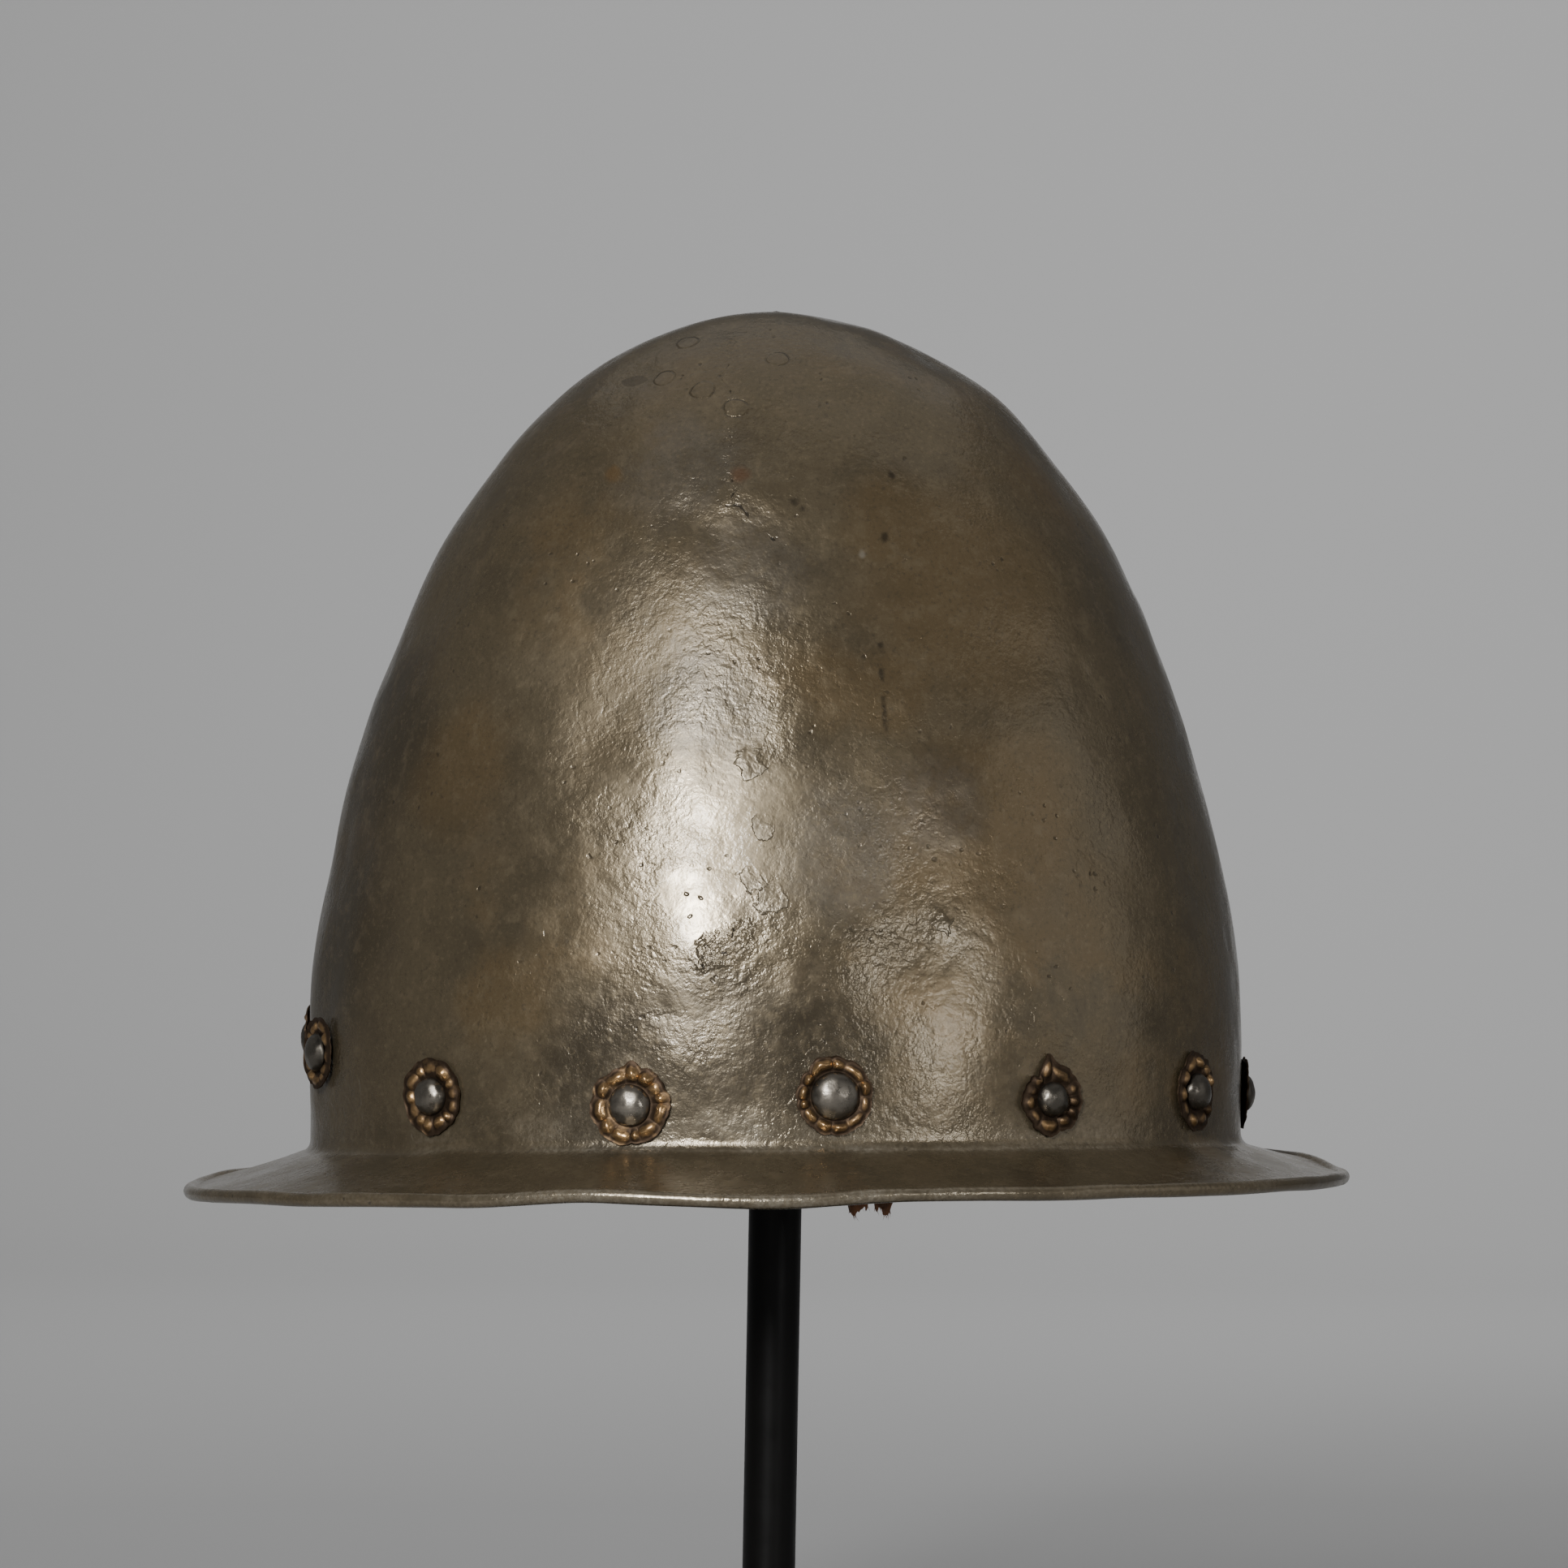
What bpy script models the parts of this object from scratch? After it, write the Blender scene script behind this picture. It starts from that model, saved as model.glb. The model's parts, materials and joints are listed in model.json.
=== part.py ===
"""Cabasset helmet on a plain post.

A tall skull and a sloping brim are raised from one steel plate, and the brim's edge is rolled
over into a bead. Thirteen domed rivets, each on an embossed rosette washer, ring the foot of the
skull. They held a leather lining band, of which one torn scrap is left. The helmet hangs on the
carved head of a round post with a disc foot.

Metres, +Z up, origin on the floor at the centre of the foot, +X towards the helmet's front.
"""

import math

import bmesh
import bpy
from mathutils import Matrix, Vector

# Skull, outside sizes at the brim's root
SKULL_LENGTH = 0.2396
SKULL_WIDTH = 0.192
SKULL_HEIGHT = 0.2149
WALL = 0.0013
PROFILE_POWER = 2.2
KEEL_HEIGHT = 0.0014
KEEL_SPREAD = 0.017
KEEL_RUNOUT = 0.17

# Brim
BRIM_REACH = 0.0282
BRIM_DROP = 0.0100
BEAD_PROUD = 0.00115
ROOT_FILLET = 0.0028

# Rivets and rosettes
PETAL_LENGTH = 0.0035
PETAL_SCALLOP = 0.0003
PETAL_WAVE = 0.00026
ROSETTE_RISE = 0.0013
ROSETTE_EDGE = 0.0006
HEAD_RADIUS = 0.0050
HEAD_RISE = 0.0030
SHANK_RADIUS = 0.0017
TAIL_RADIUS = 0.0034
TAIL_THICKNESS = 0.0011
RIVET_LIFT = 0.0125
SEAT_GAP = 0.0003
TAIL_GAP = 0.0005

# Leather scrap of the lining band
LEATHER = 0.0018
SCRAP_FRONT = 0.018
SCRAP_BACK = 0.007
SCRAP_ABOVE = 0.0075
SCRAP_BELOW = 0.0162

# Stand
ROOT_HEIGHT = 0.1835
TIPPED_BACK = math.radians(1.03)
FOOT_RADIUS = 0.090
FOOT_THICKNESS = 0.010
FOOT_EDGE = 0.0015
COLLAR_WALL = 0.009
COLLAR_HEIGHT = 0.012
SOCKET_FLOOR = 0.008
POST_RADIUS = 0.0068
SADDLE_EDGE = 0.008
SADDLE_CAP = 0.0155
HUB_WALL = 0.007
HUB_HEIGHT = 0.008

# Facets
ROUND = 56
SKULL_RINGS = 15
RING_CROWDING = 1.25
BEAD_POINTS = 7
BEND_POINTS = 2
PETALS = 10
RIVET_SIDES = 10
POST_SIDES = 28
SADDLE_RINGS = 3

# Outline of the skull against the plain curve: share of the height, share of the half length,
# and share of the half width
FULLNESS = (
    {"up": 0.00, "length": 1.000, "width": 1.000},
    {"up": 0.22, "length": 1.015, "width": 1.004},
    {"up": 0.40, "length": 1.005, "width": 0.990},
    {"up": 0.62, "length": 0.999, "width": 0.968},
    {"up": 0.76, "length": 1.007, "width": 0.958},
    {"up": 0.90, "length": 1.027, "width": 0.955},
    {"up": 1.00, "length": 1.000, "width": 0.940},
)

# Brim from the front point (0) past the near side (90), the back point (180) and the far side
# (270). Lift of the root and drop of the edge are shares of BRIM_DROP, reach is a share of
# BRIM_REACH.
BRIM_STATIONS = (
    {"turn": 0, "lift": 0.07, "drop": 0.86, "reach": 1.00},
    {"turn": 38, "lift": 0.24, "drop": 0.95, "reach": 0.97},
    {"turn": 60, "lift": 0.31, "drop": 0.96, "reach": 0.96},
    {"turn": 80, "lift": 0.34, "drop": 0.97, "reach": 0.96},
    {"turn": 95, "lift": 0.34, "drop": 1.13, "reach": 0.97},
    {"turn": 112, "lift": 0.33, "drop": 0.99, "reach": 0.97},
    {"turn": 128, "lift": 0.26, "drop": 1.12, "reach": 0.98},
    {"turn": 150, "lift": 0.05, "drop": 1.02, "reach": 1.06},
    {"turn": 180, "lift": -0.07, "drop": 1.05, "reach": 1.155},
    {"turn": 200, "lift": -0.02, "drop": 0.93, "reach": 1.10},
    {"turn": 225, "lift": 0.16, "drop": 1.00, "reach": 1.00},
    {"turn": 270, "lift": 0.34, "drop": 1.05, "reach": 0.96},
    {"turn": 322, "lift": 0.24, "drop": 0.74, "reach": 0.98},
    {"turn": 343, "lift": 0.13, "drop": 0.67, "reach": 1.00},
    {"turn": 360, "lift": 0.07, "drop": 0.86, "reach": 1.00},
)

# Broad hammer dents: where they lie, their spread as shares of the skull's height, and their
# depth as a share of the wall
DENTS = (
    {"turn": 78, "up": 0.26, "across": 0.07, "along": 0.17, "depth": 0.75},
    {"turn": 112, "up": 0.22, "across": 0.06, "along": 0.09, "depth": 0.45},
    {"turn": 118, "up": 0.52, "across": 0.09, "along": 0.07, "depth": 0.40},
    {"turn": 60, "up": 0.62, "across": 0.10, "along": 0.12, "depth": 0.40},
    {"turn": 178, "up": 0.62, "across": 0.08, "along": 0.10, "depth": 0.45},
    {"turn": 2, "up": 0.45, "across": 0.07, "along": 0.11, "depth": 0.40},
    {"turn": 215, "up": 0.35, "across": 0.09, "along": 0.11, "depth": 0.60},
    {"turn": 262, "up": 0.55, "across": 0.10, "along": 0.10, "depth": 0.55},
    {"turn": 310, "up": 0.28, "across": 0.08, "along": 0.12, "depth": 0.60},
)

# Rivets: turn round the skull, height as a share of RIVET_LIFT, head as a share of HEAD_RADIUS
RIVETS = (
    {"turn": 0, "lift": 1.00, "head": 1.00},
    {"turn": 32, "lift": 1.06, "head": 0.95},
    {"turn": 59, "lift": 0.96, "head": 0.88},
    {"turn": 86.7, "lift": 1.06, "head": 1.08},
    {"turn": 111, "lift": 0.88, "head": 0.95},
    {"turn": 139, "lift": 1.12, "head": 0.95},
    {"turn": 168, "lift": 2.02, "head": 1.00},
    {"turn": 191, "lift": 2.22, "head": 1.00},
    {"turn": 222, "lift": 1.15, "head": 0.95},
    {"turn": 250, "lift": 1.00, "head": 1.00},
    {"turn": 276, "lift": 1.05, "head": 0.95},
    {"turn": 302, "lift": 1.05, "head": 0.90},
    {"turn": 329, "lift": 1.00, "head": 0.95},
)
SCRAP_RIVET = 3

# Dome of a rivet's head, from the top down: shares of its radius and of its rise
HEAD_DOME = (
    {"out": 0.52, "up": 0.88},
    {"out": 0.88, "up": 0.52},
    {"out": 1.00, "up": 0.00},
)

# Lower edge of the leather scrap, from its front side to its back side: place across the scrap,
# and length as a share of SCRAP_BELOW
SCRAP_EDGE = (
    {"across": 0.00, "length": 0.45},
    {"across": 0.09, "length": 0.62},
    {"across": 0.16, "length": 0.98},
    {"across": 0.27, "length": 0.90},
    {"across": 0.33, "length": 0.60},
    {"across": 0.40, "length": 0.88},
    {"across": 0.52, "length": 1.00},
    {"across": 0.60, "length": 0.66},
    {"across": 0.80, "length": 0.52},
    {"across": 1.00, "length": 0.38},
)

# Colour, roughness and metallic value of each finish
FINISHES = {
    "steel": ((0.115, 0.092, 0.062), 0.42, 0.90),
    "brass": ((0.230, 0.130, 0.062), 0.38, 0.95),
    "rivet_iron": ((0.165, 0.150, 0.125), 0.36, 0.95),
    "leather": ((0.095, 0.038, 0.016), 0.85, 0.0),
    "black_steel": ((0.010, 0.0095, 0.009), 0.45, 0.0),
}


def clear_scene():
    for thing in list(bpy.data.objects):
        bpy.data.objects.remove(thing)


def finish(name):
    found = bpy.data.materials.get(name)
    if found:
        return found
    colour, roughness, metallic = FINISHES[name]
    made = bpy.data.materials.new(name)
    made.use_nodes = True
    shader = made.node_tree.nodes["Principled BSDF"]
    shader.inputs["Base Color"].default_value = (*colour, 1.0)
    shader.inputs["Roughness"].default_value = roughness
    shader.inputs["Metallic"].default_value = metallic
    return made


def read(rows, key, column, place):
    """Value of a table's column at a place along its key, eased from row to row."""
    before = rows[0]
    for row in rows:
        if row[key] >= place:
            span = row[key] - before[key]
            share = (place - before[key]) / span if span else 0.0
            eased = share * share * (3 - 2 * share)
            return before[column] + (row[column] - before[column]) * eased
        before = row
    return before[column]


def brim_at(turn, column):
    """Brim table at a turn in degrees."""
    return read(BRIM_STATIONS, "turn", column, turn % 360)


def climb_of(up):
    """Place along the skull's profile, 0 at the root and 1 at the apex, for a share of height."""
    return math.asin(min(1.0, max(0.0, up)) ** (PROFILE_POWER / 2)) * 2 / math.pi


def plain_point(turn, climb):
    """The skull's outside before its keel and dents are worked in."""
    angle = math.radians(turn)
    arc = climb * math.pi / 2
    up = math.sin(arc) ** (2 / PROFILE_POWER) if climb > 0 else 0.0
    out = math.cos(arc)
    half_length = SKULL_LENGTH / 2 * out * read(FULLNESS, "up", "length", up)
    half_width = SKULL_WIDTH / 2 * out * read(FULLNESS, "up", "width", up)
    root = BRIM_DROP * brim_at(turn, "lift")
    return Vector(
        (
            half_length * math.cos(angle),
            -half_width * math.sin(angle),
            root + (SKULL_HEIGHT - root) * up,
        )
    )


def normal_at(turn, climb, surface=plain_point, step=0.004):
    """Outward normal of the plain skull, or of another surface of it."""
    if climb > 0.999:
        return Vector((0, 0, 1))
    low, high = max(0.0, climb - step), min(0.9995, climb + step)
    along = surface(turn, high) - surface(turn, low)
    across = surface(turn + 1, climb) - surface(turn - 1, climb)
    return along.cross(across).normalized()


def dent_at(point):
    """Depth of the dents at a point of the skull."""
    depth = 0.0
    for dent in DENTS:
        middle = plain_point(dent["turn"], climb_of(dent["up"]))
        away = point - middle
        level = math.hypot(away.x, away.y) / (dent["across"] * SKULL_HEIGHT)
        rise = away.z / (dent["along"] * SKULL_HEIGHT)
        depth += dent["depth"] * WALL * math.exp(-(level * level) - rise * rise)
    return depth


def skull_point(turn, climb, inward=0.0):
    """A point of the skull's outside, or of a surface so far inward of it."""
    plain = plain_point(turn, climb)
    off_keel = 1 - math.exp(-((plain.y / KEEL_SPREAD) ** 2))
    keel = KEEL_HEIGHT * off_keel * min(1.0, climb / KEEL_RUNOUT)
    return plain - normal_at(turn, climb) * (keel + dent_at(plain) + inward)


def outward_at(turn):
    """Level direction that leaves the skull's root."""
    angle = math.radians(turn)
    leave = Vector((math.cos(angle) / SKULL_LENGTH, -math.sin(angle) / SKULL_WIDTH, 0))
    return leave.normalized()


def bent(start, corner, end):
    """Points inside a bend from start to end that leans on its corner."""
    shares = [(step + 1) / (BEND_POINTS + 1) for step in range(BEND_POINTS)]
    return [start * (1 - s) ** 2 + corner * 2 * s * (1 - s) + end * s * s for s in shares]


def brim_section(turn):
    """Points of the brim, from the foot of the skull's outside round the bead to its inside."""
    root = skull_point(turn, 0.0)
    foot = climb_of(ROOT_FILLET / SKULL_HEIGHT)
    out, up = outward_at(turn), Vector((0, 0, 1))
    reach = BRIM_REACH * brim_at(turn, "reach")
    drop = BRIM_DROP * brim_at(turn, "drop")
    slope = (out * reach - up * drop).normalized()
    raised = (out * drop + up * reach).normalized()
    under = raised * WALL
    start = root + slope * ROOT_FILLET
    inner_corner = root - out * WALL - under

    bead = WALL / 2 + BEAD_PROUD
    centre = root + slope * (math.hypot(reach, drop) - bead) - under / 2
    meet = math.acos(WALL / 2 / bead)
    points = bent(skull_point(turn, foot), root, start) + [start]
    for step in range(BEAD_POINTS):
        swing = (math.pi + 2 * meet) * step / (BEAD_POINTS - 1) - meet
        points.append(centre + (raised * math.cos(swing) + slope * math.sin(swing)) * bead)
    points.append(start - under)
    return points + bent(start - under, inner_corner, skull_point(turn, foot, WALL))


def body(name, mesh_of, material):
    """An object from a function that fills a bmesh."""
    shape = bmesh.new()
    mesh_of(shape)
    bmesh.ops.recalc_face_normals(shape, faces=shape.faces)
    mesh = bpy.data.meshes.new(name)
    shape.to_mesh(mesh)
    shape.free()
    mesh.shade_smooth()
    mesh.set_sharp_from_angle(angle=math.radians(35))
    mesh.materials.append(finish(material))
    made = bpy.data.objects.new(name, mesh)
    bpy.context.scene.collection.objects.link(made)
    return made


def join(shape, near, far):
    """Faces between two closed loops of vertices."""
    for here in range(len(near)):
        there = (here + 1) % len(near)
        shape.faces.new((near[here], near[there], far[there], far[here]))


def skin(shape, rings, first=None, last=None):
    """Faces from ring to ring, closed at each end by a point or a flat face."""
    loops = [[shape.verts.new(p) for p in ring] for ring in rings]
    for near, far in zip(loops, loops[1:]):
        join(shape, near, far)
    for loop, tip in ((loops[0], first), (loops[-1], last)):
        if tip is None:
            shape.faces.new(loop)
            continue
        point = shape.verts.new(tip)
        for here in range(len(loop)):
            shape.faces.new((loop[here], loop[(here + 1) % len(loop)], point))


def level_ring(radius, height, sides, scallop=0.0, wave=0.0):
    """Points of a level circle, each second one further out and higher than the one before."""
    points = []
    for k in range(sides):
        angle = 2 * math.pi * k / sides
        swell = 1 if k % 2 else -1
        reach = radius + scallop * swell
        points.append(
            Vector((reach * math.cos(angle), reach * math.sin(angle), height + wave * swell))
        )
    return points


def turned(shape, profile, sides):
    """A solid of revolution about Z from a profile that starts and ends on the axis."""
    rings = [level_ring(radius, height, sides) for radius, height in profile[1:-1]]
    skin(shape, rings, Vector((0, 0, profile[0][1])), Vector((0, 0, profile[-1][1])))


def ring_climbs():
    """Climbs of the skull's rings of facets, from the crown down, closer together at the foot."""
    lowest = climb_of(ROOT_FILLET / SKULL_HEIGHT)
    steps = [k / (SKULL_RINGS + 1) for k in range(SKULL_RINGS, 0, -1)]
    return [lowest + (1 - lowest) * step**RING_CROWDING for step in steps]


def skull_mesh(shape):
    """Skull, brim and bead as one closed wall."""
    turns = [360 * k / ROUND for k in range(ROUND)]
    climbs = ring_climbs()
    sections = []
    for turn in turns:
        outside = [skull_point(turn, climb) for climb in climbs]
        inside = [skull_point(turn, climb, WALL) for climb in reversed(climbs)]
        sections.append(outside + brim_section(turn) + inside)
    rings = [list(ring) for ring in zip(*sections)]
    skin(shape, rings, skull_point(0, 1.0), skull_point(0, 1.0, WALL))


def rivet_climb(rivet):
    root = BRIM_DROP * brim_at(rivet["turn"], "lift")
    up = RIVET_LIFT * rivet["lift"] / (SKULL_HEIGHT - root)
    return climb_of(up)


def wall_frame(turn, climb):
    """Placement on the skull: local Z outward, local Y up the wall."""
    outward = normal_at(turn, climb, skull_point, 0.03)
    upward = (Vector((0, 0, 1)) - outward * outward.z).normalized()
    sideways = upward.cross(outward)
    turned_to = Matrix((sideways, upward, outward)).transposed().to_4x4()
    return Matrix.Translation(skull_point(turn, climb)) @ turned_to


def rosette_mesh(shape):
    """An embossed washer: a flat back, and a ring of raised petals round the rivet's hole."""
    hole = SHANK_RADIUS + SEAT_GAP
    dish = HEAD_RADIUS * max(rivet["head"] for rivet in RIVETS) + SEAT_GAP
    edge, top = dish + PETAL_LENGTH, SEAT_GAP + ROSETTE_EDGE
    sides = 2 * PETALS
    rings = [
        level_ring(hole, SEAT_GAP, sides),
        level_ring(hole, top, sides),
        level_ring(dish, top, sides),
        level_ring((dish + edge) / 2, SEAT_GAP + ROSETTE_RISE, sides, 0.0, PETAL_WAVE),
        level_ring(edge, top, sides, PETAL_SCALLOP),
        level_ring(edge, SEAT_GAP, sides, PETAL_SCALLOP),
    ]
    loops = [[shape.verts.new(p) for p in ring] for ring in rings]
    for near, far in zip(loops, loops[1:] + loops[:1]):
        join(shape, near, far)


def grip(number):
    """How far inside the skull's outer face a rivet's tail begins."""
    leather = LEATHER + SEAT_GAP if number == SCRAP_RIVET else 0.0
    return WALL + TAIL_GAP + leather


def rivet_mesh(shape, radius, depth):
    """A domed head outside, a shank through the wall and a hammered tail inside."""
    seat = 2 * SEAT_GAP + ROSETTE_EDGE
    profile = [(0, seat + HEAD_RISE)]
    profile += [(radius * row["out"], seat + HEAD_RISE * row["up"]) for row in HEAD_DOME]
    profile += [(SHANK_RADIUS, seat), (SHANK_RADIUS, -depth)]
    profile += [(TAIL_RADIUS, -depth), (0, -depth - TAIL_THICKNESS)]
    turned(shape, profile, RIVET_SIDES)


def hole_cutter(number, frame):
    """A rod that bores the rivet's hole through the skull."""
    bore = SHANK_RADIUS + SEAT_GAP
    length = 4 * (WALL + LEATHER)

    def rod(shape):
        turned(shape, [(0, -length), (bore, -length), (bore, length), (0, length)], RIVET_SIDES)

    made = body(f"cutter_{number}", rod, "steel")
    made.matrix_world = frame
    made.hide_render = True
    made.display_type = "WIRE"
    return made


def cut(target, cutters, name):
    """Bores the cutters' holes in the target."""
    held = bpy.data.collections.new(name)
    for cutter in cutters:
        held.objects.link(cutter)
    bore = target.modifiers.new(name, "BOOLEAN")
    bore.operation = "DIFFERENCE"
    bore.operand_type = "COLLECTION"
    bore.collection = held


def scrap_mesh(shape):
    """Torn leather that lies on the skull's inside and hangs straight down past the brim."""
    rivet = RIVETS[SCRAP_RIVET]
    middle, climb = rivet["turn"], rivet_climb(rivet)
    degree = (skull_point(middle + 1, climb) - skull_point(middle, climb)).length
    rings = []
    for station in SCRAP_EDGE:
        along = (SCRAP_FRONT + SCRAP_BACK) * station["across"] - SCRAP_FRONT
        turn = middle + along / degree
        top = skull_point(turn, climb_of((RIVET_LIFT + SCRAP_ABOVE) / SKULL_HEIGHT))
        foot = skull_point(turn, climb_of(ROOT_FILLET / SKULL_HEIGHT))
        tip = foot - Vector((0, 0, ROOT_FILLET + SCRAP_BELOW * station["length"]))
        near = outward_at(turn) * (WALL + SEAT_GAP)
        far = outward_at(turn) * (WALL + SEAT_GAP + LEATHER)
        rings.append([top - near, foot - near, tip - near, tip - far, foot - far, top - far])
    skin(shape, rings)


def helmet_placement():
    """The helmet's own frame, whose origin is the middle of the brim's root, on the stand."""
    raised = Matrix.Translation((0, 0, ROOT_HEIGHT))
    return raised @ Matrix.Rotation(-TIPPED_BACK, 4, "Y")


def saddle_point(turn, climb):
    """A point of the saddle's top, just inside the crown."""
    return helmet_placement() @ skull_point(turn, climb, WALL + SEAT_GAP)


def saddle_rings():
    """Rings of the saddle's top, inside the crown's own rings of facets."""
    turns = [-360 * k / POST_SIDES for k in range(POST_SIDES)]
    climbs = ring_climbs()[:SADDLE_RINGS]
    return [[saddle_point(turn, climb) for turn in turns] for climb in climbs]


def saddle_floor():
    """Height of the saddle's underside."""
    return min(point.z for point in saddle_rings()[-1]) - SADDLE_EDGE


def saddle_roof():
    """Height of the top of the saddle's socket."""
    return saddle_point(0, 1.0).z - SADDLE_CAP


def saddle_mesh(shape):
    """The stand's head: its top is cut to the crown's inside, and a hub under it takes the post."""
    socket, floor = POST_RADIUS + SEAT_GAP, saddle_floor()
    rings = saddle_rings()
    rings.append([Vector((point.x, point.y, floor)) for point in rings[-1]])
    rings.append(level_ring(socket + HUB_WALL, floor, POST_SIDES))
    rings.append(level_ring(socket + HUB_WALL, floor - HUB_HEIGHT, POST_SIDES))
    rings.append(level_ring(socket, floor - HUB_HEIGHT, POST_SIDES))
    rings.append(level_ring(socket, saddle_roof(), POST_SIDES))
    skin(shape, rings, saddle_point(0, 1.0))


def foot_mesh(shape):
    """Disc foot with a rounded edge and a collar whose socket holds the post."""
    socket = POST_RADIUS + SEAT_GAP
    collar, top = socket + COLLAR_WALL, FOOT_THICKNESS + COLLAR_HEIGHT
    profile = [(0, 0), (FOOT_RADIUS - FOOT_EDGE, 0), (FOOT_RADIUS, FOOT_EDGE)]
    profile += [(FOOT_RADIUS, FOOT_THICKNESS - FOOT_EDGE)]
    profile += [(FOOT_RADIUS - FOOT_EDGE, FOOT_THICKNESS), (collar, FOOT_THICKNESS)]
    profile += [(collar, top - FOOT_EDGE), (collar - FOOT_EDGE, top)]
    profile += [(socket, top), (socket, SOCKET_FLOOR), (0, SOCKET_FLOOR)]
    turned(shape, profile, POST_SIDES)


def post_mesh(shape):
    """Round post from the foot's socket to the saddle's."""
    low, high = SOCKET_FLOOR + SEAT_GAP, saddle_roof() - SEAT_GAP
    profile = [(0, low), (POST_RADIUS, low), (POST_RADIUS, high), (0, high)]
    turned(shape, profile, POST_SIDES)


def build_helmet():
    holder = bpy.data.objects.new("helmet", None)
    bpy.context.scene.collection.objects.link(holder)
    holder.matrix_world = helmet_placement()
    skull = body("skull_and_brim", skull_mesh, "steel")
    scrap = body("lining_scrap", scrap_mesh, "leather")
    pieces, cutters = [skull, scrap], []
    for number, rivet in enumerate(RIVETS):
        frame = wall_frame(rivet["turn"], rivet_climb(rivet))
        cutters.append(hole_cutter(number, frame))
        rosette = body(f"rosette_{number + 1:02d}", rosette_mesh, "brass")

        def rivet_of(shape, size=rivet["head"], depth=grip(number)):
            rivet_mesh(shape, HEAD_RADIUS * size, depth)

        stud = body(f"rivet_{number + 1:02d}", rivet_of, "rivet_iron")
        for piece in (rosette, stud):
            piece.matrix_world = frame
        pieces += [rosette, stud]
    cut(skull, cutters, "rivet_holes")
    cut(scrap, [cutters[SCRAP_RIVET]], "scrap_hole")
    for piece in pieces + cutters:
        piece.parent = holder


def build_stand():
    body("stand_foot", foot_mesh, "black_steel")
    body("stand_post", post_mesh, "black_steel")
    body("stand_saddle", saddle_mesh, "black_steel")


clear_scene()
build_helmet()
build_stand()
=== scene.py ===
"""Hammered cabasset helmet on a plain post, dressed for a museum photograph.

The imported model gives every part's place. Here the skull gets its hammer marks, crack and old
repairs, each rosette its own torn embossing, and the metals their patina. The helmet's own frame has
its origin at the middle of the brim's root, +X to the front and +Z up.
"""

import functools
import json
import math
import random

import bpy
import numpy as np
from mathutils import Matrix, Vector, noise

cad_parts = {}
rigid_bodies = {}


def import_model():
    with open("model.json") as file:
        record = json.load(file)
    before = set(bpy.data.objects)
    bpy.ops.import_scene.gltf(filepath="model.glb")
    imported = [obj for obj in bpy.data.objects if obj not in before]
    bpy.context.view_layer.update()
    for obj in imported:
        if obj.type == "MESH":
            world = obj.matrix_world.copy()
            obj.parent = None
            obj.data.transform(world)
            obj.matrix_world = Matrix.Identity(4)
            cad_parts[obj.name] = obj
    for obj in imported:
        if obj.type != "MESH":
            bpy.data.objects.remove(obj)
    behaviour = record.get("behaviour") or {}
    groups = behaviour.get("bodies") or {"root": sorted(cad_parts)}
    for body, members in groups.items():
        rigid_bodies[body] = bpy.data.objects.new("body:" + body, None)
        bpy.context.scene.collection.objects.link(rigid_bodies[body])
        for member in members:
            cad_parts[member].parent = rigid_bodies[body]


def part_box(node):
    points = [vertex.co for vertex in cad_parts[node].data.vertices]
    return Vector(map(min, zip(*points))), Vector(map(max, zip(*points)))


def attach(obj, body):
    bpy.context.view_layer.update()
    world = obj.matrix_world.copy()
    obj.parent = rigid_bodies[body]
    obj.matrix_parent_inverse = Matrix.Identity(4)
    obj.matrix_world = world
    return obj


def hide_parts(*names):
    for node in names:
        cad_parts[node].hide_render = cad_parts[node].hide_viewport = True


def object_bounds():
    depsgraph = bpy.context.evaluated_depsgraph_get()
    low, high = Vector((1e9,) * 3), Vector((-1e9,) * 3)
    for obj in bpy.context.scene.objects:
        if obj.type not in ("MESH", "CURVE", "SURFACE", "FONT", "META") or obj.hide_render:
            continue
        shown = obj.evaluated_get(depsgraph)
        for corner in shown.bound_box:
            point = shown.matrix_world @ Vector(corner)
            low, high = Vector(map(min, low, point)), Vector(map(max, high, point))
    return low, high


bl_info = {
    "name": "Cabasset Helmet",
    "version": (1, 0, 0),
    "blender": (4, 5, 0),
    "location": "View3D > Sidebar > Cabasset",
    "description": "Builds a hammered cabasset helmet with rosettes on a plain post",
    "category": "Add Mesh",
}


def clear_scene():
    for thing in list(bpy.data.objects):
        bpy.data.objects.remove(thing)


clear_scene()
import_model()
cad_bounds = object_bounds()

BODY = "root"
SEED = 7
TIPPED_BACK = math.radians(1.03)


def table(columns, *rows):
    """Rows of values with the names of their columns."""
    return tuple(dict(zip(columns.split(), row)) for row in rows)


# Outline of the skull against the plain curve: share of the height, of the half length and of
# the half width
FULLNESS = table(
    "up length width",
    (0.00, 1.000, 1.000), (0.22, 1.015, 1.004), (0.40, 1.005, 0.990), (0.62, 0.999, 0.968),
    (0.76, 1.007, 0.958), (0.90, 1.027, 0.955), (1.00, 1.000, 0.940),
)

# Brim from the front point (0) past the near side (90), the back point (180) and the far side
# (270): lift of the root and drop of the edge as shares of the brim's drop, reach as a share of
# the brim's reach
BRIM_STATIONS = table(
    "turn lift drop reach",
    (0, 0.07, 0.86, 1.00), (38, 0.24, 0.95, 0.97), (60, 0.31, 0.96, 0.96), (80, 0.34, 0.97, 0.96),
    (95, 0.34, 1.13, 0.97), (112, 0.33, 0.99, 0.97), (128, 0.26, 1.12, 0.98),
    (150, 0.05, 1.02, 1.06), (180, -0.07, 1.05, 1.155), (200, -0.02, 0.93, 1.10),
    (225, 0.16, 1.00, 1.00), (270, 0.34, 1.05, 0.96), (322, 0.24, 0.74, 0.98),
    (343, 0.13, 0.67, 1.00), (360, 0.07, 0.86, 1.00),
)

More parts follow.
